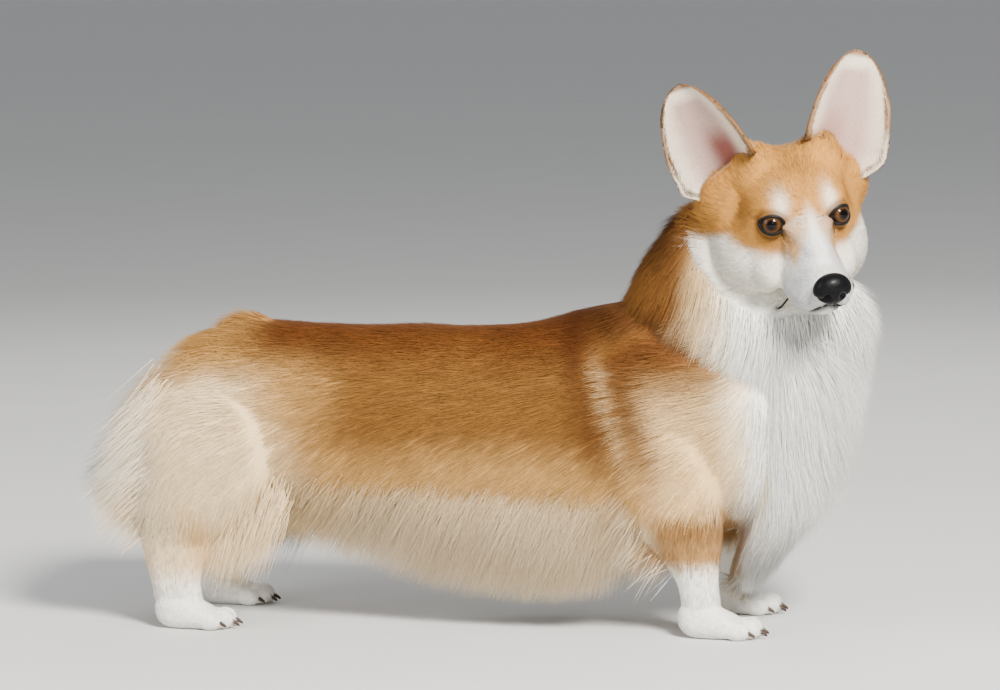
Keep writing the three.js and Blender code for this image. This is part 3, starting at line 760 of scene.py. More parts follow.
def tube_bmesh(place, around, across, open_ends=False):
    """A closed tube: a grid whose pairs of edges a function brings together."""
    bm = bmesh.new()
    bmesh.ops.create_grid(bm, x_segments=around, y_segments=across, size=0.5)
    grid = np.array([v.co for v in bm.verts]) + 0.5
    for v, p in zip(bm.verts, place(grid[:, 0], grid[:, 1])):
        v.co = p
    bmesh.ops.remove_doubles(bm, verts=bm.verts, dist=1e-6)
    if open_ends:
        bmesh.ops.holes_fill(bm, edges=[e for e in bm.edges if e.is_boundary], sides=0)
        bmesh.ops.recalc_face_normals(bm, faces=bm.faces)
    elif bm.calc_volume(signed=True) < 0:
        bmesh.ops.reverse_faces(bm, faces=bm.faces)
    return bm


# Round the section of a lid: degrees past its edge and how far it stands off the eye
LID = [
    (0, -0.1), (0.3, 0.4), (2, 0.8), (6, 1.1), (14, 1.4), (24, 1.6),
    (36, 1.2), (42, -1.8), (24, -1.6), (10, -0.9), (0, -0.1),
]


def build_lids(side, material):
    gaze, outer, up = eye_frame(side)
    table = np.array(LID, float)

    def place(a, b):
        phi = a * 2 * np.pi
        at = b * (len(table) - 1)
        past = np.interp(at, np.arange(len(table)), table[:, 0])
        rise = np.interp(at, np.arange(len(table)), table[:, 1])
        theta = opening(phi) + np.radians(past)
        ray = np.cos(phi)[:, None] * outer + np.sin(phi)[:, None] * up
        way = np.cos(theta)[:, None] * gaze + np.sin(theta)[:, None] * ray
        # the upper lid stands a little prouder
        rise = rise + 0.5 * np.clip(np.sin(phi), 0, 1) * (past > 1) * (past < 30)
        return to_frame(to_body(EYE_AT * [1, side, 1] + way * (EYE_RADIUS + 0.25 + rise)[:, None]))

    lids = object_of(f"lids_{SIDES[side]}", [tube_bmesh(place, 72, 30)])
    q = to_head(to_dog(coords(lids.data)))
    past = past_lids(q, side)[-1]
    colour = mix(np.tile(BLACK, (len(q), 1)), head_marks(q) * 0.8, ramp(past, 9, 16))
    paint(lids.data, colour)
    return finish_piece(lids, material)


def build_nose(material):
    def move(u):
        x, y, z = u.T
        p = u * [11.5, 17.6, 14.0]
        p[:, 1] *= 1 + 0.10 * z - 0.22 * ramp(-z, 0.2, 0.95)
        p[:, 0] += 1.5 * np.clip(x, 0, 1) * ramp(z, -0.4, 0.6) - 1.5 * ramp(-z, 0.1, 0.9) * np.clip(x, 0, 1)
        p[:, 2] += 2.2 * ramp(z, 0, 1) * (1 - 0.5 * y * y)
        n = unit(u / np.array([11.5, 17.6, 14.0]))
        for side in (-1, 1):
            hole = blob(p, (8.5, side * 7.2, -1.6), (7, 3.2, 3.4))
            slit = blob(p, (5.0, side * 12.2, -4.6), (8, 4.6, 1.7))
            wing = blob(p, (7.0, side * 11.0, 1.6), (7, 3.2, 2.6))
            p = p - n * (5.0 * hole + 3.0 * slit)[:, None] + n * (1.1 * wing)[:, None]
        seam = np.exp(-((p[:, 1] / 0.9) ** 2)) * ramp(x, 0.3, 0.7) * ramp(-z, -0.35, 0.1)
        p = p - n * (1.5 * seam)[:, None]
        return to_frame(to_body(p + NOSE_AT))

    return finish_piece(object_of("nose_pad", [sphere_bmesh(move, 128, 96)]), material, ["nose"])


def build_lips(skin, material):
    """A thin dark edge that runs in the line of the mouth."""
    tree = BVHTree.FromObject(skin, bpy.context.evaluated_depsgraph_get())
    line = np.concatenate([MOUTH[::-1] * [1, -1, 1], MOUTH[1:]])
    path = between(line, np.linspace(0, 1, 90))
    seated = []
    for p in to_frame(to_body(path)):
        hit, normal, _, _ = tree.find_nearest(Vector(p))
        seated.append((np.array(hit), np.array(normal)))
    centre = np.array([s[0] for s in seated])
    out = np.array([s[1] for s in seated])
    way = unit(np.gradient(centre, axis=0))

    def place(a, b):
        i = np.minimum((a * 89 + 0.5).astype(int), 89)
        share = np.abs(a - 0.5) * 2
        size = 0.0014 * (1 + 0.9 * blob(share[:, None], [0.86], [0.1]))
        size = size * np.sqrt(np.clip(1 - share**8, 1e-4, 1))
        turn = b * 2 * np.pi
        side = np.cross(way[i], out[i])
        offset = side * np.cos(turn)[:, None] + out[i] * np.sin(turn)[:, None]
        return centre[i] + offset * size[:, None] + out[i] * 0.0005

    lips = object_of("lip_edge", [tube_bmesh(place, 89, 12, open_ends=True)])
    return finish_piece(lips, material)


# The ears, a thin cup that opens forward


def ear_points(height, across, through, side):
    outline = EAR_HALF * 1.08 * np.sqrt(np.clip(1 - height**2.4, 0, None))
    outline = outline * (0.86 + 0.5 * height - 0.36 * height**2) * (0.6 + 0.4 * ramp(height, 0, 0.26))
    foot = np.maximum(1e-3, np.sqrt(np.minimum(1, height / 0.08)))
    bend = np.radians(74 - 38 * height) * foot
    radius = outline * foot / np.sin(bend)
    skin = 3.2 * np.minimum(1, (1 - height) * 8) * np.sign(through) * np.abs(through) ** 0.6
    around = bend * across * (1 - 0.55 * ramp(-side * across, 0, 0.7) * ramp(-height, -0.42, -0.16))
    p = np.stack(
        [
            radius - (radius - skin) * np.cos(around),
            (radius - skin) * np.sin(around),
            height * (EAR_LENGTH + 18) - 18,
        ],
        -1,
    )
    # the foot of the inner rim sinks into the crown
    p[:, 0] -= 14 * ramp(-side * across, 0.2, 1.0) * ramp(-height, -0.42, -0.18)
    turn = Matrix.Rotation(math.radians(-4), 3, "Y")
    turn = turn @ Matrix.Rotation(math.radians(-side * EAR_LEAN[side]), 3, "X")
    turn = turn @ Matrix.Rotation(math.radians(side * EAR_TURN[side]), 3, "Z")
    return p @ np.array(turn).T + [-30, side * 47, 34]


def ear_marks(height, across, through, side):
    n = len(height)
    edge = np.maximum(np.abs(across), ramp(height, 0.72, 1.0))
    inside = np.tile(PINK * 0.9, (n, 1))
    lay(inside, CREAM * [0.95, 1.0, 1.2], ramp(edge, 0.35, 0.8))
    inner = -side * across
    canal = ramp(-height, -0.66, -0.42) * ramp(-np.abs(inner - 0.2), -0.46, -0.1)
    # the dark canal, strengthened on the near ear by painted shade
    lay(inside, CANAL, canal * (0.95 if side < 0 else 0.35))
    # painted shade over the inside of the near ear
    inside = inside * (0.86 if side < 0 else 1.0)
    high = ramp(height + 0.4 * ramp(inner, -0.2, 0.5), 0.3, 0.5)
    lay(inside, TAN, ramp(edge, 0.9, 0.99) * high * 0.85)
    outside = np.tile(TAN * 1.1, (n, 1))
    lay(outside, RED, ramp(height, 0.5, 1.0) * 0.6)
    return mix(outside, inside, ramp(through, -0.15, 0.25))


def build_ear(side, material):
    colours = []

    def move(u):
        height = (u[:, 2] + 1) / 2
        ring = np.sqrt(np.clip(1 - u[:, 2] ** 2, 0, None))
        live = ring > 1e-3
        across = np.where(live, u[:, 1] / np.maximum(ring, 1e-6), 0)
        through = np.where(live, u[:, 0] / np.maximum(ring, 1e-6), 0)
        # the leather a little darker than its hair, as painted shade under the hair
        colours.append(ear_marks(height, across, through, side) * 0.9)
        q = ear_points(height, across, through, side)
        # a soft wave along the rim
        q += unit(q - q.mean(0)) * (wave(q, 26, 9) * 0.8)[:, None]
        return to_frame(to_body(q))

    name = f"ear_{SIDES[side]}"
    ear = object_of(name + "_leather", [sphere_bmesh(move, 64, 56)])
    paint(ear.data, colours[0])
    return finish_piece(ear, material, [name])


# The claws


def build_claws(material):
    bms, names = [], []
    for part, x, out in (("forepaw", FORE_X, FORE_OUT), ("hind_paw", HIND_X, HIND_OUT)):
        for side, word in SIDES.items():
            for i, (ahead, lean, r) in enumerate(TOES):
                at = np.array([x + ahead + r, side * (out - lean), CLAW["height"]])

                def move(u):
                    t = (u[:, 2] + 1) / 2
                    girth = CLAW["root"] + (CLAW["tip"] - CLAW["root"]) * t**1.3
                    ring = np.minimum(1, np.sqrt(np.clip(1 - u[:, 2] ** 2, 0, None)) * 2.2)
                    flat = np.sqrt(np.clip(1 - u[:, 2] ** 2, 1e-9, None))
                    p = np.stack(
                        [
                            (t - 0.5) * CLAW["length"],
                            u[:, 0] / flat * girth * ring * 0.85,
                            u[:, 1] / flat * girth * ring - 1.6 * (t - 0.35) ** 2 * 3,
                        ],
                        -1,
                    )
                    turn = np.array(Matrix.Rotation(math.radians(16), 3, "Y"))
                    p = p @ turn.T + at
                    p[:, 2] = np.maximum(p[:, 2], 0.6)
                    return to_frame(p)

                bms.append(sphere_bmesh(move, 14, 14))
                names.append(f"claw_{part}_{word}_{i + 1}")
    return finish_piece(object_of("claws", bms), material, names)


# The coat: thin closed tufts, each a straight spike on three root corners


def tuft_piece(name, root, tip, out, width, colour, uv, material):
    n = len(root)
    points = np.empty((n, 4, 3))
    patch = np.empty((n, 4, 2))
    tint = np.empty((n, 4, 3))
    way = unit(tip - root)
    side = unit(np.cross(way, out))
    up = np.cross(side, way)
    # each tuft darker at its root corners, as painted shade deep in the coat, and lighter at its tip, as
    # painted light
    for k, (a, b) in enumerate(((0.5, -0.16), (-0.5, -0.16), (0.0, 0.24))):
        points[:, k] = root + side * (a * width)[:, None] + up * (b * width)[:, None]
        patch[:, k] = uv + np.array([-0.5, a]) * BAKE_PATCH
        tint[:, k] = colour * 0.9
    points[:, 3] = tip
    patch[:, 3] = uv + np.array([0.5, 0.0]) * BAKE_PATCH
    tint[:, 3] = colour * 1.06
    points[..., 2] = np.maximum(points[..., 2], 0.2 * MM)
    faces = np.array([(0, 1, 2), (0, 3, 1), (1, 3, 2), (2, 3, 0)])
    corner = points[0][faces]
    volume = np.einsum("ij,ij->i", corner[:, 0], np.cross(corner[:, 1], corner[:, 2])).sum()
    if volume < 0:
        faces = faces[:, ::-1]
    index = (np.arange(n)[:, None, None] * 4 + faces[None]).reshape(-1)
    mesh = bpy.data.meshes.new(name)
    mesh.vertices.add(n * 4)
    mesh.vertices.foreach_set("co", points.reshape(-1).astype(np.float32))
    mesh.loops.add(len(index))
    mesh.loops.foreach_set("vertex_index", index.astype(np.int32))
    mesh.polygons.add(len(index) // 3)
    mesh.polygons.foreach_set("loop_start", np.arange(0, len(index), 3, dtype=np.int32))
    mesh.update(calc_edges=True)
    layer = mesh.uv_layers.new(name="OFBake")
    layer.data.foreach_set("uv", np.clip(patch.reshape(-1, 2)[index], 0, 1).astype(np.float32).ravel())
    paint(mesh, tint.reshape(-1, 3))
    made = bpy.data.objects.new(name, mesh)
    bpy.context.scene.collection.objects.link(made)
    finish_piece(made, material)
    # the normals of the skin, turned a little by each tuft, keep the coat soft
    lean = np.stack([side * 0.7, side * -0.7, side * 0, way * 0.3], 1)
    mesh.normals_split_custom_set_from_vertices(unit(out[:, None] + lean).reshape(-1, 3))
    return made


def sample(points, index, density, count, rng):
    """Seeded points spread over a mesh by density, with the normal of each."""
    corner = points[index]
    cross = np.cross(corner[:, 1] - corner[:, 0], corner[:, 2] - corner[:, 0])
    area = np.linalg.norm(cross, axis=1) / 2
    weight = area * density
    pick = rng.choice(len(index), count, p=weight / weight.sum())
    a, b = rng.random((2, count))
    swap = a + b > 1
    a, b = np.where(swap, 1 - a, a), np.where(swap, 1 - b, b)
    c = corner[pick]
    at = c[:, 0] + a[:, None] * (c[:, 1] - c[:, 0]) + b[:, None] * (c[:, 2] - c[:, 0])
    return at, unit(cross[pick])


def gather(root, tip, share, every, rng):
    """Draws the tips of neighbours together into locks, and gives each its lock's number."""
    count = max(4, len(root) // every)
    guides = rng.choice(len(root), count, replace=False)
    tree = KDTree(count)
    for i, g in enumerate(guides):
        tree.insert(Vector(root[g]), i)
    tree.balance()
    near = np.array([tree.find(Vector(p))[1] for p in root])
    lead = guides[near]
    pull = (root[lead] - root) * 0.8 + (tip[lead] - root[lead] - (tip - root)) * 0.7
    return tip + pull * share, near


def toward(way, share, other):
    """Turns a lie toward another one by a share."""
    return way * (1 - share)[:, None] + share[:, None] * np.array(other)


def flat_on(way, n):
    """A lie's part that is square to the skin's normal, of length one."""
    return unit(way - n * (way * n).sum(1)[:, None])


def lie_of(p, n):
    """The way the coat lies on the body and legs."""
    x, y, z = p.T
    way = np.tile(np.array([-1.0, 0.0, -0.22]), (len(p), 1))
    low = ramp(-z, -230, -130)
    way[:, 2] -= 0.75 * low
    rump = ramp(-x, 225, 300)
    way = toward(way, rump, [-0.5, 0, -0.9])
    neck = ramp(z - 0.55 * (x - 110), 225, 275) * ramp(x, 90, 150)
    way = toward(way, neck, [-0.55, 0, -0.85])
    front = ramp(x, 225, 285)
    way = toward(way, front, [-0.05, 0, -1.0])
    leg = np.maximum(ramp(x, 118, 150), ramp(-x, 190, 222)) * ramp(-z, -150, -105) * ramp(np.abs(y), 22, 34)
    way = toward(way, leg, [-0.12, 0, -1.0])
    foot = ramp(-z, -40, -26)
    way = toward(way, foot, [0.85, 0, -0.5])
    way[:, 1] += 0.10 * wave(p, 70, 11)
    way[:, 2] += 0.12 * wave(p, 80, 12)
    return flat_on(way, n)


def lie_of_head(q, n):
    x, y, z = q.T
    s = np.sign(y)
    side = ramp(np.abs(y), 3, 26)
    low = ramp(-z, -6, 30)
    way = np.stack([-np.ones(len(q)), s * side * 0.45, 0.18 - 0.75 * low * ramp(-x, -60, 0)], -1)
    way[:, 2] += 0.3 * ramp(z, 10, 40) * ramp(x, 20, 60)
    way += 0.12 * np.stack([wave(q, 28, k) for k in (21, 22, 23)], -1)
    return flat_on(way, n)


def coat_length(p):
    """How long the coat is, in millimetres, on the body and legs."""
    x, y, z = p.T
    length = np.full(len(p), 26.0)
    length += 10 * ramp(x, 90, 170) * ramp(z, 150, 250)
    length += 6 * ramp(-x, 200, 300)
    length += 6 * ramp(-z, -150, -110)
    leg = np.maximum(ramp(x, 118, 150), ramp(-x, 190, 222)) * ramp(np.abs(y), 20, 34)
    length += (12 - length) * leg * ramp(-z, -150, -90)
    length += (6 - length) * ramp(-z, -44, -26)
    return length


def unwrap_body(p):
    x, y, z = p.T
    return np.stack([(x + 410) / 830, np.arctan2(y, z - 190) / (2 * np.pi) + 0.5], -1) * 0.98 + 0.01


def unwrap_leg(p):
    x, y, z = p.T
    fore = x > -60
    k = fore * 2 + (y > 0)
    ax = np.where(fore, FORE_X, HIND_X + 8)
    ay = np.where(y > 0, 1, -1) * np.where(fore, FORE_OUT, HIND_OUT)
    v = (k + np.arctan2(y - ay, x - ax) / (2 * np.pi) + 0.5) / 4
    return np.stack([z / 270, v], -1) * 0.97 + 0.015


def unwrap_head(q):
    x, y, z = q.T
    return np.stack([(x + 100) / 230, np.arctan2(y, z + 8) / (2 * np.pi) + 0.5], -1) * 0.98 + 0.01


def short_coat(name, p, n, way, length, width, lift, every, rng, colour, uv, material):
    """Flat-lying tufts from roots in millimetres."""
    size = length * rng.uniform(0.7, 1.2, len(p))
    stand = lift * rng.uniform(0.6, 1.4, len(p))
    side = np.cross(n, way) * rng.normal(0, 0.14, len(p))[:, None]
    root = p - n * 0.8
    tip = p + (way + side) * size[:, None] + n * (stand * size)[:, None]
    tip, lock = gather(root, tip, 0.3, every, rng)
    tone = 1 + rng.normal(0, 0.07, lock.max() + 1)[lock] + rng.normal(0, 0.13, len(p))
    return tuft_piece(
        name, to_frame(root), to_frame(tip), n, width * rng.uniform(0.7, 1.3, len(p)) * MM,
        colour * tone[:, None], uv, material,
    )


def long_coat(name, root, tip, n, width, every, share, rng, colour, uv, material):
    """Long tufts from given roots and tips, gathered into locks."""
    tip, lock = gather(root, tip, share, every, rng)
    tone = 1 + rng.normal(0, 0.07, lock.max() + 1)[lock] + rng.normal(0, 0.10, len(root))
    return tuft_piece(
        name, to_frame(root), to_frame(tip), n, width * rng.uniform(0.7, 1.3, len(root)) * MM,
        colour * tone[:, None], uv, material,
    )


def from_form(form, core, t, angle, ahead, rng, jitter=3.0):
    """Roots on a core and tips on the full form further along it."""
    root = form_points(core, t, angle)
    step = 0.01
    along = form_points(core, np.clip(t + step, 0, 1), angle) - root
    round_ = form_points(core, t, angle + 0.03) - root
    n = unit(np.cross(round_, along))
    top = np.zeros_like(angle)
    centre = (form_points(core, t, top) + form_points(core, t, top + np.pi)) / 2
    n *= np.sign(((root - centre) * n).sum(1) + 1e-9)[:, None]
    tip = form_points(form, np.clip(t + ahead, 0.02, 0.985), angle) + rng.normal(0, jitter, (len(t), 3))
    return root - n * 3, tip, n


# How low the belly's fringe hangs along the dog
BELLY_TIPS = np.array(
    [
        [-230, 92], [-190, 74], [-150, 62], [-100, 46], [-50, 32],
        [0, 24], [60, 21], [110, 24], [160, 32], [200, 60],
    ],
    float,
)


# Feathers of a leg, as the right one's: a line of roots, a line of tips and how many tufts
FEATHERS = [
    (
        [[140, -70, 138], [160, -74, 114], [184, -72, 90]],
        [[112, -66, 100], [132, -70, 74], [158, -70, 54]],
        700,
    ),
    (
        [[-296, -82, 226], [-308, -84, 184], [-312, -82, 148], [-308, -74, 116]],
        [[-346, -84, 176], [-366, -82, 134], [-364, -76, 102], [-338, -68, 84]],
        1700,
    ),
    (
        [[-262, -68, 98], [-226, -72, 114], [-182, -74, 134]],
        [[-280, -64, 62], [-250, -66, 54], [-212, -68, 60]],
        1400,
    ),
]


def grow_coat(skin, material, seed, fullness):
    rng = np.random.default_rng(seed)
    share = 1.0
    many = lambda count: int(count * share * fullness)
    points = to_dog(coords(skin.data))
    index = triangles(skin.data)
    middle = points[index].mean(1)
    head = head_share(middle)
    x, y, z = middle.T
    q = to_head(middle)
    leg = (1 - head) * np.maximum(ramp(x, 118, 150), ramp(-x, 190, 222))
    leg = leg * ramp(np.abs(y), 22, 34) * ramp(-z, -130, -118)
    body = (1 - head) * (1 - leg)
    # body
    chunks = [
        ("coat_rump", body * (x < -150)), ("coat_barrel", body * (x >= -150) * (x < 100)),
        ("coat_shoulders", body * (x >= 100) * (z < 262)), ("coat_neck", body * (x >= 100) * (z >= 262)),
    ]
    for name, weight in chunks:
        for side, word in SIDES.items():
            half = weight * (y * side > 0)
            p, n = sample(points, index, half, many(TUFTS["body"]), rng)
            short_coat(
                f"{name}_{word}", p, n, lie_of(p, n), coat_length(p), 0.80, 0.10, 14, rng,
                marks(p + n * 4), unwrap_body(p), material,
            )
    for side, word in SIDES.items():
        p, n = sample(points, index, leg * (y * side > 0) * (1 + 1.5 * (z < 50)), many(TUFTS["legs"]), rng)
        small = coat_length(p)
        short_coat(
            f"coat_legs_{word}", p, n, lie_of(p, n), small, 0.45 + small * 0.025, 0.10, 9, rng,
            marks(p + n * 2), unwrap_leg(p), material,
        )
    # head
    keep = head * ramp(mouth_distance(q), 2.6, 5.5)
    keep *= np.linalg.norm(q - NOSE_AT, axis=1) > 15.5
    for side in (-1, 1):
        _, far, _, _, past = past_lids(q, side)
        keep *= 1 - (past < 17) * (far < 24)
    for side, word in SIDES.items():
        half = keep * (q[:, 1] * side > 0) * (1 + 1.2 * (q[:, 0] > 10))
        p, n = sample(points, index, half, many(TUFTS["head"]), rng)
        ph, nh = to_head(p), n @ HEAD_ROT
        near_eye = np.linalg.norm(ph - EYE_AT * [1, side, 1], axis=1)
        size = 4.0 + 6.0 * ramp(-ph[:, 0], -60, 0) + 15 * ramp(-ph[:, 0], 0, 40) * ramp(-ph[:, 2], -30, 10)
        size *= 0.45 + 0.55 * ramp(near_eye, 15, 30)
        foot = ramp(-np.linalg.norm(ph - [-24, side * 45, 50], axis=1), -34, -14)
        size += 5 * foot
        way = flat_on(toward(lie_of_head(ph, nh), foot, [0.1, side * 0.25, 1.0]), nh) @ HEAD_ROT.T
        short_coat(
            f"coat_head_{word}", p, n, way, size, 0.36 + size * 0.035, 0.15 + 0.05 * foot, 9, rng,
            marks(p + n), unwrap_head(ph), material,
        )
    # long coat: breeches, bib and ruff
    both = lambda count, low, high: (rng.uniform(low, high, count), rng.uniform(-1, 1, count))
    count = many(TUFTS["breeches"])
    t, a = both(count, 0.12, 0.9)
    ahead = rng.uniform(0.08, 0.3, count)
    root, tip, n = from_form(BREECHES, BREECHES_CORE, t, a * 1.75, ahead, rng, 6.0)
    colour = marks(root + n * 20)
    long_coat("locks_breeches", root, tip, n, 0.7, 14, 0.2, rng, colour, unwrap_body(root), material)
    count = many(TUFTS["bib"])
    t, a = both(count, 0.02, 0.92)
    ahead = rng.uniform(0.12, 0.26, count)
    root, tip, n = from_form(BIB, BIB_CORE, t, a * 1.9, ahead, rng)
    colour = body_marks(root + n * 20)
    long_coat("locks_bib", root, tip, n, 0.8, 16, 0.25, rng, colour, unwrap_body(root), material)
    count = many(TUFTS["ruff"])
    t, a = both(count, 0.12, 0.97)
    ahead = -rng.uniform(0.1, 0.24, count)
    root, tip, n = from_form(NECK, NECK_CORE, t, a * np.pi, ahead, rng)
    free = (head_share(root) < 0.05) & (head_share(tip) < 0.4)
    free &= np.linalg.norm(to_head(root) / [78, 76, 72], axis=1) > 1
    root, tip, n = root[free], tip[free], n[free]
    colour = body_marks(root + n * 8)
    long_coat("locks_ruff", root, tip, n, 0.75, 16, 0.2, rng, colour, unwrap_body(root), material)
    # fringe of the belly, which hangs on from the lower sides
    low = body * ramp(-z, -168, -98) * (x > -240) * (x < 196) * (np.abs(y) < 98)
    low = low * (0.25 + ramp(np.abs(y), 20, 70))
    p, n = sample(points, index, low, many(TUFTS["belly"]), rng)
    line = np.interp(p[:, 0] - 8, BELLY_TIPS[:, 0], BELLY_TIPS[:, 1])
    high = ramp(p[:, 2], 92, 160)
    reach = line + (p[:, 2] - 40 - line) * high + rng.uniform(-1, 6.5, len(p)) ** 2 * 0.7
    behind = p[:, 0] - rng.uniform(8, 46, len(p))
    tip = np.stack([behind, p[:, 1] * 0.9 + rng.normal(0, 4, len(p)), reach], -1)
    tip[:, 2] = np.minimum(tip[:, 2], p[:, 2] - 14)
    hang = marks(np.stack([p[:, 0], p[:, 1], p[:, 2] * 0.8], -1))
    long_coat("locks_belly", p - n * 2, tip, n, 0.62, 12, 0.15, rng, hang, unwrap_body(p), material)
    # feathers behind the elbow and round the thigh
    for side, word in SIDES.items():
        roots, tips = [], []
        for root_line, tip_line, number in FEATHERS:
            t = rng.random(many(number * 1.1))
            thick = rng.normal(0, 1, (len(t), 3))
            roots.append(between(root_line, t) + thick * [6, 9, 12])
            tips.append(between(tip_line, t) + thick * [5, 7, 8] + rng.normal(0, 1, (len(t), 3)) * [7, 3, 8])
        root, tip = np.concatenate(roots) * [1, -side, 1], np.concatenate(tips) * [1, -side, 1]
        out = np.tile([0, side, 0.1], (len(root), 1))
        colour = marks(root * [1, 1, 0.9])
        uv = unwrap_leg(root)
        long_coat(f"locks_leg_{word}", root, tip, out, 0.5, 12, 0.0, rng, colour, uv, material)


def grow_ear_fringe(side, material, seed):
    """Short hair over an ear, a little longer where it grows from the rims across the cup."""
    rng = np.random.default_rng(seed)
    count = TUFTS["ear"]
    height = rng.uniform(0.04, 0.985, count)
    turn = rng.uniform(-np.pi, np.pi, count)
    rim = rng.random(count) < 0.4
    turn = np.where(np.abs(turn) < 0.9, np.pi - turn, turn)
    either = np.where(rng.random(count) < 0.5, 1, -1)
    turn = np.where(rim, either * np.pi / 2 + rng.normal(0, 0.16, count), turn)
    across, through = np.sin(turn), np.cos(turn)
    q = ear_points(height, across, through, side)
    e = 0.01
    up = unit(ear_points(np.minimum(height + e, 0.999), across, through, side) - q)
    sideways = ear_points(height, np.sin(turn + e), np.cos(turn + e), side) - q
    n = unit(np.cross(sideways, up))
    front = ear_points(height, across, np.ones(count), side)
    shell = (front + ear_points(height, across, -np.ones(count), side)) / 2
    n *= np.sign(((q - shell) * n).sum(1) + 1e-9)[:, None]
    out = unit(q - ear_points(height, across * 0.75, np.zeros(count), side))
    n = np.where(rim[:, None], out, n)
    inner = ear_points(height, across * 0.6, np.full(count, 1.0), side)
    cross_cup = unit(inner - q)
    inside = through > 0.1
    size = np.where(rim, 9.0, np.where(inside, 7.0, 6.0)) * (0.6 + 0.5 * (1 - height))
    way = up + cross_cup * (0.9 * rim * (height < 0.75))[:, None]
    way = unit(way - n * (way * n).sum(1)[:, None] * (~rim)[:, None])
    p, nb, wb = to_body(q), n @ HEAD_ROT.T, way @ HEAD_ROT.T
    colour = ear_marks(height, across, through, side)
    uv = np.stack([height * 0.96 + 0.02, (turn / (2 * np.pi) + 0.5) * 0.96 + 0.02], -1)
    name = f"coat_ear_{SIDES[side]}"
    return short_coat(name, p, nb, wb, size, 0.7, 0.12, 7, rng, colour, uv, material)


# Materials


def new_material(name):
    material = bpy.data.materials.new(name)
    material.use_nodes = True
    tree = material.node_tree
    tree.nodes.clear()
    out = tree.nodes.new("ShaderNodeOutputMaterial")
    shader = tree.nodes.new("ShaderNodeBsdfPrincipled")
    tree.links.new(shader.outputs["BSDF"], out.inputs["Surface"])
    return material, tree, shader


def put(node, values):
    """Sets a node's inputs by name."""
    for name, value in values.items():
        node.inputs[name].default_value = value


def object_noise(tree, scale):
    place = tree.nodes.new("ShaderNodeTexCoord")
    noise = tree.nodes.new("ShaderNodeTexNoise")
    put(noise, {"Scale": scale, "Detail": 3.0})
    tree.links.new(place.outputs["Object"], noise.inputs["Vector"])
    return noise


def add_bump(tree, shader, height, strength, distance):
    bump = tree.nodes.new("ShaderNodeBump")
    put(bump, {"Strength": strength, "Distance": distance})
    tree.links.new(height, bump.inputs["Height"])
    tree.links.new(bump.outputs["Normal"], shader.inputs["Normal"])


def coat_material(name, scale, strength, rough, under=0.0):
    """Colour painted on the mesh, broken up by noise, with fine bump."""
    material, tree, shader = new_material(name)
    colour = tree.nodes.new("ShaderNodeAttribute")
    colour.attribute_name = "Coat"
    noise = object_noise(tree, scale)
    fade = tree.nodes.new("ShaderNodeMapRange")
    put(fade, {"To Min": 0.78, "To Max": 1.16})
    tree.links.new(noise.outputs["Fac"], fade.inputs["Value"])
    blend = tree.nodes.new("ShaderNodeVectorMath")
    blend.operation = "SCALE"
    tree.links.new(colour.outputs["Color"], blend.inputs[0])
    tree.links.new(fade.outputs["Result"], blend.inputs["Scale"])
    tree.links.new(blend.outputs["Vector"], shader.inputs["Base Color"])
    put(shader, {"Roughness": rough, "Specular IOR Level": 0.1})
    put(shader, {"Subsurface Weight": under, "Subsurface Scale": 0.004})
    add_bump(tree, shader, noise.outputs["Fac"], strength, 0.0006)
    return material


def eye_material():
    material, tree, shader = new_material("Eye")
    turn = tree.nodes.new("ShaderNodeAttribute")
    turn.attribute_name = "Turn"
    noise = object_noise(tree, 900)
    shake = tree.nodes.new("ShaderNodeMath")
    shake.operation = "MULTIPLY_ADD"
    shake.inputs[1].default_value = 0.012
    tree.links.new(noise.outputs["Fac"], shake.inputs[0])
    tree.links.new(turn.outputs["Fac"], shake.inputs[2])
    bands = tree.nodes.new("ShaderNodeValToRGB")
    stops = [
        (0.0, (0.001, 0.001, 0.001)), (0.09, (0.001, 0.001, 0.001)), (0.13, (0.014, 0.005, 0.002)),
        (0.19, (0.060, 0.026, 0.007)), (0.245, (0.034, 0.014, 0.004)), (0.29, (0.004, 0.003, 0.002)),
        (0.32, (0.006, 0.005, 0.004)), (0.40, (0.04, 0.03, 0.025)), (0.5, (0.10, 0.07, 0.06)),
    ]
    ramp_ = bands.color_ramp
    while len(ramp_.elements) < len(stops):
        ramp_.elements.new(0.5)
    for element, (at, rgb) in zip(ramp_.elements, stops):
        element.position = at
        element.color = (*rgb, 1)
    tree.links.new(shake.outputs[0], bands.inputs["Fac"])
    tree.links.new(bands.outputs["Color"], shader.inputs["Base Color"])
    put(shader, {"Roughness": 0.12, "Specular IOR Level": 0.05})
    put(shader, {"Coat Weight": 0.4, "Coat IOR": 1.35, "Coat Roughness": 0.02})
    return material


def pebbled_material(name, colour, scale, rough, distance):
    material, tree, shader = new_material(name)
    place = tree.nodes.new("ShaderNodeTexCoord")
    cells = tree.nodes.new("ShaderNodeTexVoronoi")
    put(cells, {"Scale": scale})
    tree.links.new(place.outputs["Object"], cells.inputs["Vector"])
    # darker where the cells meet, in the grooves of the bump, as painted shade
    bands = tree.nodes.new("ShaderNodeValToRGB")
    bands.color_ramp.elements[0].color = (*colour, 1)
    bands.color_ramp.elements[1].color = (*(c * 0.45 for c in colour), 1)
    tree.links.new(cells.outputs["Distance"], bands.inputs["Fac"])
    tree.links.new(bands.outputs["Color"], shader.inputs["Base Color"])
    put(shader, {"Roughness": rough, "Specular IOR Level": 0.07})
    put(shader, {"Coat Weight": 0.04, "Coat Roughness": 0.15})
    add_bump(tree, shader, cells.outputs["Distance"], 0.35, -distance)
    return material


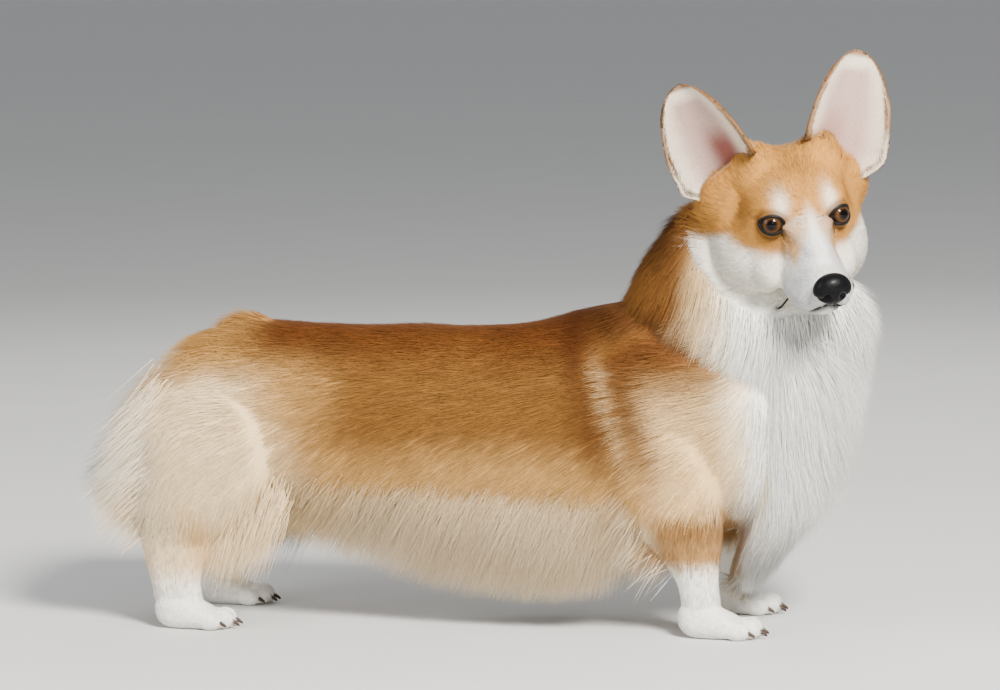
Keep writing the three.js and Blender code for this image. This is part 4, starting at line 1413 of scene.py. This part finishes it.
def floor_material():
    material, tree, shader = new_material("Floor")
    noise = object_noise(tree, 6)
    bands = tree.nodes.new("ShaderNodeValToRGB")
    bands.color_ramp.elements[0].color = (0.56, 0.56, 0.55, 1)
    bands.color_ramp.elements[1].color = (0.60, 0.60, 0.59, 1)
    tree.links.new(noise.outputs["Fac"], bands.inputs["Fac"])
    tree.links.new(bands.outputs["Color"], shader.inputs["Base Color"])
    put(shader, {"Roughness": 0.9})
    return material


MATERIALS = {}


def material(name):
    if name not in MATERIALS:
        make = {
            "skin": lambda: coat_material("Skin", 520, 0.8, 0.85),
            "coat": lambda: coat_material("Coat", 260, 0.15, 0.62),
            "ear": lambda: coat_material("Ear", 420, 0.3, 0.7, under=0.08),
            "lids": lambda: coat_material("Lids", 1500, 0.5, 0.42),
            "eye": eye_material,
            "nose": lambda: pebbled_material("Nose", (0.004, 0.004, 0.005), 1150, 0.36, 0.0005),
            "lips": lambda: pebbled_material("Lips", (0.03, 0.024, 0.023), 900, 0.5, 0.0002),
            "claw": lambda: pebbled_material("Claw", (0.075, 0.052, 0.04), 260, 0.35, 0.0001),
            "floor": floor_material,
        }[name]
        MATERIALS[name] = make()
    return MATERIALS[name]


# The stage


def look_at(made, target):
    made.rotation_euler = (Vector(target) - made.location).to_track_quat("-Z", "Y").to_euler()


def add_area(name, place, target, size, power, colour=(1, 1, 1)):
    lamp = bpy.data.lights.new(name, "AREA")
    lamp.shape = "DISK"
    lamp.size, lamp.energy, lamp.color = size, power, colour
    made = bpy.data.objects.new(name, lamp)
    made.location = place
    look_at(made, target)
    bpy.context.scene.collection.objects.link(made)


CAMERA = dict(turn=12.0, rise=6.0, roll=-1.0, away=3.6, lens=137.87, target=(10, 0, 262))


def build_stage(power):
    bm = bmesh.new()
    bmesh.ops.create_grid(bm, x_segments=8, y_segments=8, size=FLOOR_HALF)
    floor = object_of("floor", [bm])
    floor.data.materials.append(material("floor"))
    world = bpy.data.worlds.new("Studio")
    bpy.context.scene.world = world
    world.use_nodes = True
    put(world.node_tree.nodes["Background"], {"Color": (0.88, 0.90, 0.93, 1), "Strength": 0.5})
    middle = (0.0, 0.0, 0.25)
    add_area("key", (1.7, -2.3, 2.3), middle, 1.0, 440 * power, (1.0, 0.96, 0.90))
    add_area("glint", (0.9, -2.6, 1.0), (0.3, -0.05, 0.4), 0.28, 8 * power)
    add_area("fill", (-2.2, -1.7, 1.3), middle, 1.8, 50 * power, (0.93, 0.96, 1.0))
    add_area("back", (-0.4, 2.2, 1.9), middle, 1.6, 26 * power, (1.0, 0.98, 0.95))
    turn, rise, roll = (math.radians(CAMERA[k]) for k in ("turn", "rise", "roll"))
    back = Vector((math.sin(turn) * math.cos(rise), -math.cos(turn) * math.cos(rise), math.sin(rise)))
    right = Vector((math.cos(turn), math.sin(turn), 0))
    up = back.cross(right)
    side = right * math.cos(roll) + up * math.sin(roll)
    top = up * math.cos(roll) - right * math.sin(roll)
    lens = bpy.data.cameras.new("camera")
    lens.lens, lens.sensor_width = CAMERA["lens"], 36
    lens.clip_start, lens.clip_end = 0.1, 100
    seen = bpy.data.objects.new("camera", lens)
    target = Vector(to_frame(np.array(CAMERA["target"], float)))
    turned = Matrix((side, top, back)).transposed().to_4x4()
    seen.matrix_world = Matrix.Translation(target + back * CAMERA["away"]) @ turned
    bpy.context.scene.collection.objects.link(seen)
    bpy.context.scene.camera = seen


# The add-on: its values, one operator for each group of pieces, and its panel


class CorgiCoatValues(bpy.types.PropertyGroup):
    seed: bpy.props.IntProperty(name="Seed", description="Seed of the coat's scatter", default=7, min=0)
    fullness: bpy.props.FloatProperty(
        name="Fullness", description="Share of the full number of tufts", default=1.0, min=0.05, max=1.0,
    )


class CorgiStageValues(bpy.types.PropertyGroup):
    power: bpy.props.FloatProperty(
        name="Light", description="Strength of the studio lights", default=1.0, min=0,
    )


class CorgiSkinOperator(bpy.types.Operator):
    """Builds the skin of the body, legs and head as one surface"""

    bl_idname = "corgi.skin"
    bl_label = "Skin"

    def execute(self, context):
        build_skin(material("skin"))
        return {"FINISHED"}


class CorgiFaceOperator(bpy.types.Operator):
    """Builds the eyes, lids, nose and the edge of the lips"""

    bl_idname = "corgi.face"
    bl_label = "Face"

    def execute(self, context):
        for side in (-1, 1):
            build_eye(side, material("eye"))
            build_lids(side, material("lids"))
        build_nose(material("nose"))
        build_lips(PIECES["skin"], material("lips"))
        return {"FINISHED"}


class CorgiEarsOperator(bpy.types.Operator):
    """Builds the two ears"""

    bl_idname = "corgi.ears"
    bl_label = "Ears"

    def execute(self, context):
        for side in (-1, 1):
            build_ear(side, material("ear"))
        return {"FINISHED"}


class CorgiClawsOperator(bpy.types.Operator):
    """Builds the sixteen claws"""

    bl_idname = "corgi.claws"
    bl_label = "Claws"

    def execute(self, context):
        build_claws(material("claw"))
        return {"FINISHED"}


class CorgiCoatOperator(bpy.types.Operator):
    """Grows the coat over the skin and the ears"""

    bl_idname = "corgi.coat"
    bl_label = "Coat"

    def execute(self, context):
        values = context.scene.corgi_coat
        grow_coat(PIECES["skin"], material("coat"), values.seed, values.fullness)
        for side in (-1, 1):
            grow_ear_fringe(side, material("coat"), values.seed + 10 + side)
        return {"FINISHED"}


class CorgiStageOperator(bpy.types.Operator):
    """Sets the floor, the lights and the camera"""

    bl_idname = "corgi.stage"
    bl_label = "Stage"

    def execute(self, context):
        build_stage(context.scene.corgi_stage.power)
        return {"FINISHED"}


OPERATORS = (
    CorgiSkinOperator, CorgiFaceOperator, CorgiEarsOperator,
    CorgiClawsOperator, CorgiCoatOperator, CorgiStageOperator,
)


class CorgiPanel(bpy.types.Panel):
    """Lists the corgi's values and operators in the sidebar"""

    bl_idname = "VIEW3D_PT_corgi"
    bl_label = "Corgi"
    bl_space_type = "VIEW_3D"
    bl_region_type = "UI"
    bl_category = "Corgi"

    def draw(self, context):
        column = self.layout.column()
        column.prop(context.scene.corgi_coat, "seed")
        column.prop(context.scene.corgi_coat, "fullness")
        column.prop(context.scene.corgi_stage, "power")
        for operator in OPERATORS:
            column.operator(operator.bl_idname)


CLASSES = (CorgiCoatValues, CorgiStageValues, *OPERATORS, CorgiPanel)


def register():
    for each in CLASSES:
        bpy.utils.register_class(each)
    bpy.types.Scene.corgi_coat = bpy.props.PointerProperty(type=CorgiCoatValues)
    bpy.types.Scene.corgi_stage = bpy.props.PointerProperty(type=CorgiStageValues)


def unregister():
    del bpy.types.Scene.corgi_stage
    del bpy.types.Scene.corgi_coat
    for each in reversed(CLASSES):
        bpy.utils.unregister_class(each)


def main():
    register()
    bpy.ops.corgi.skin()
    bpy.ops.corgi.face()
    bpy.ops.corgi.ears()
    bpy.ops.corgi.claws()
    bpy.ops.corgi.coat()
    bpy.ops.corgi.stage()


if __name__ == "__main__":
    main()
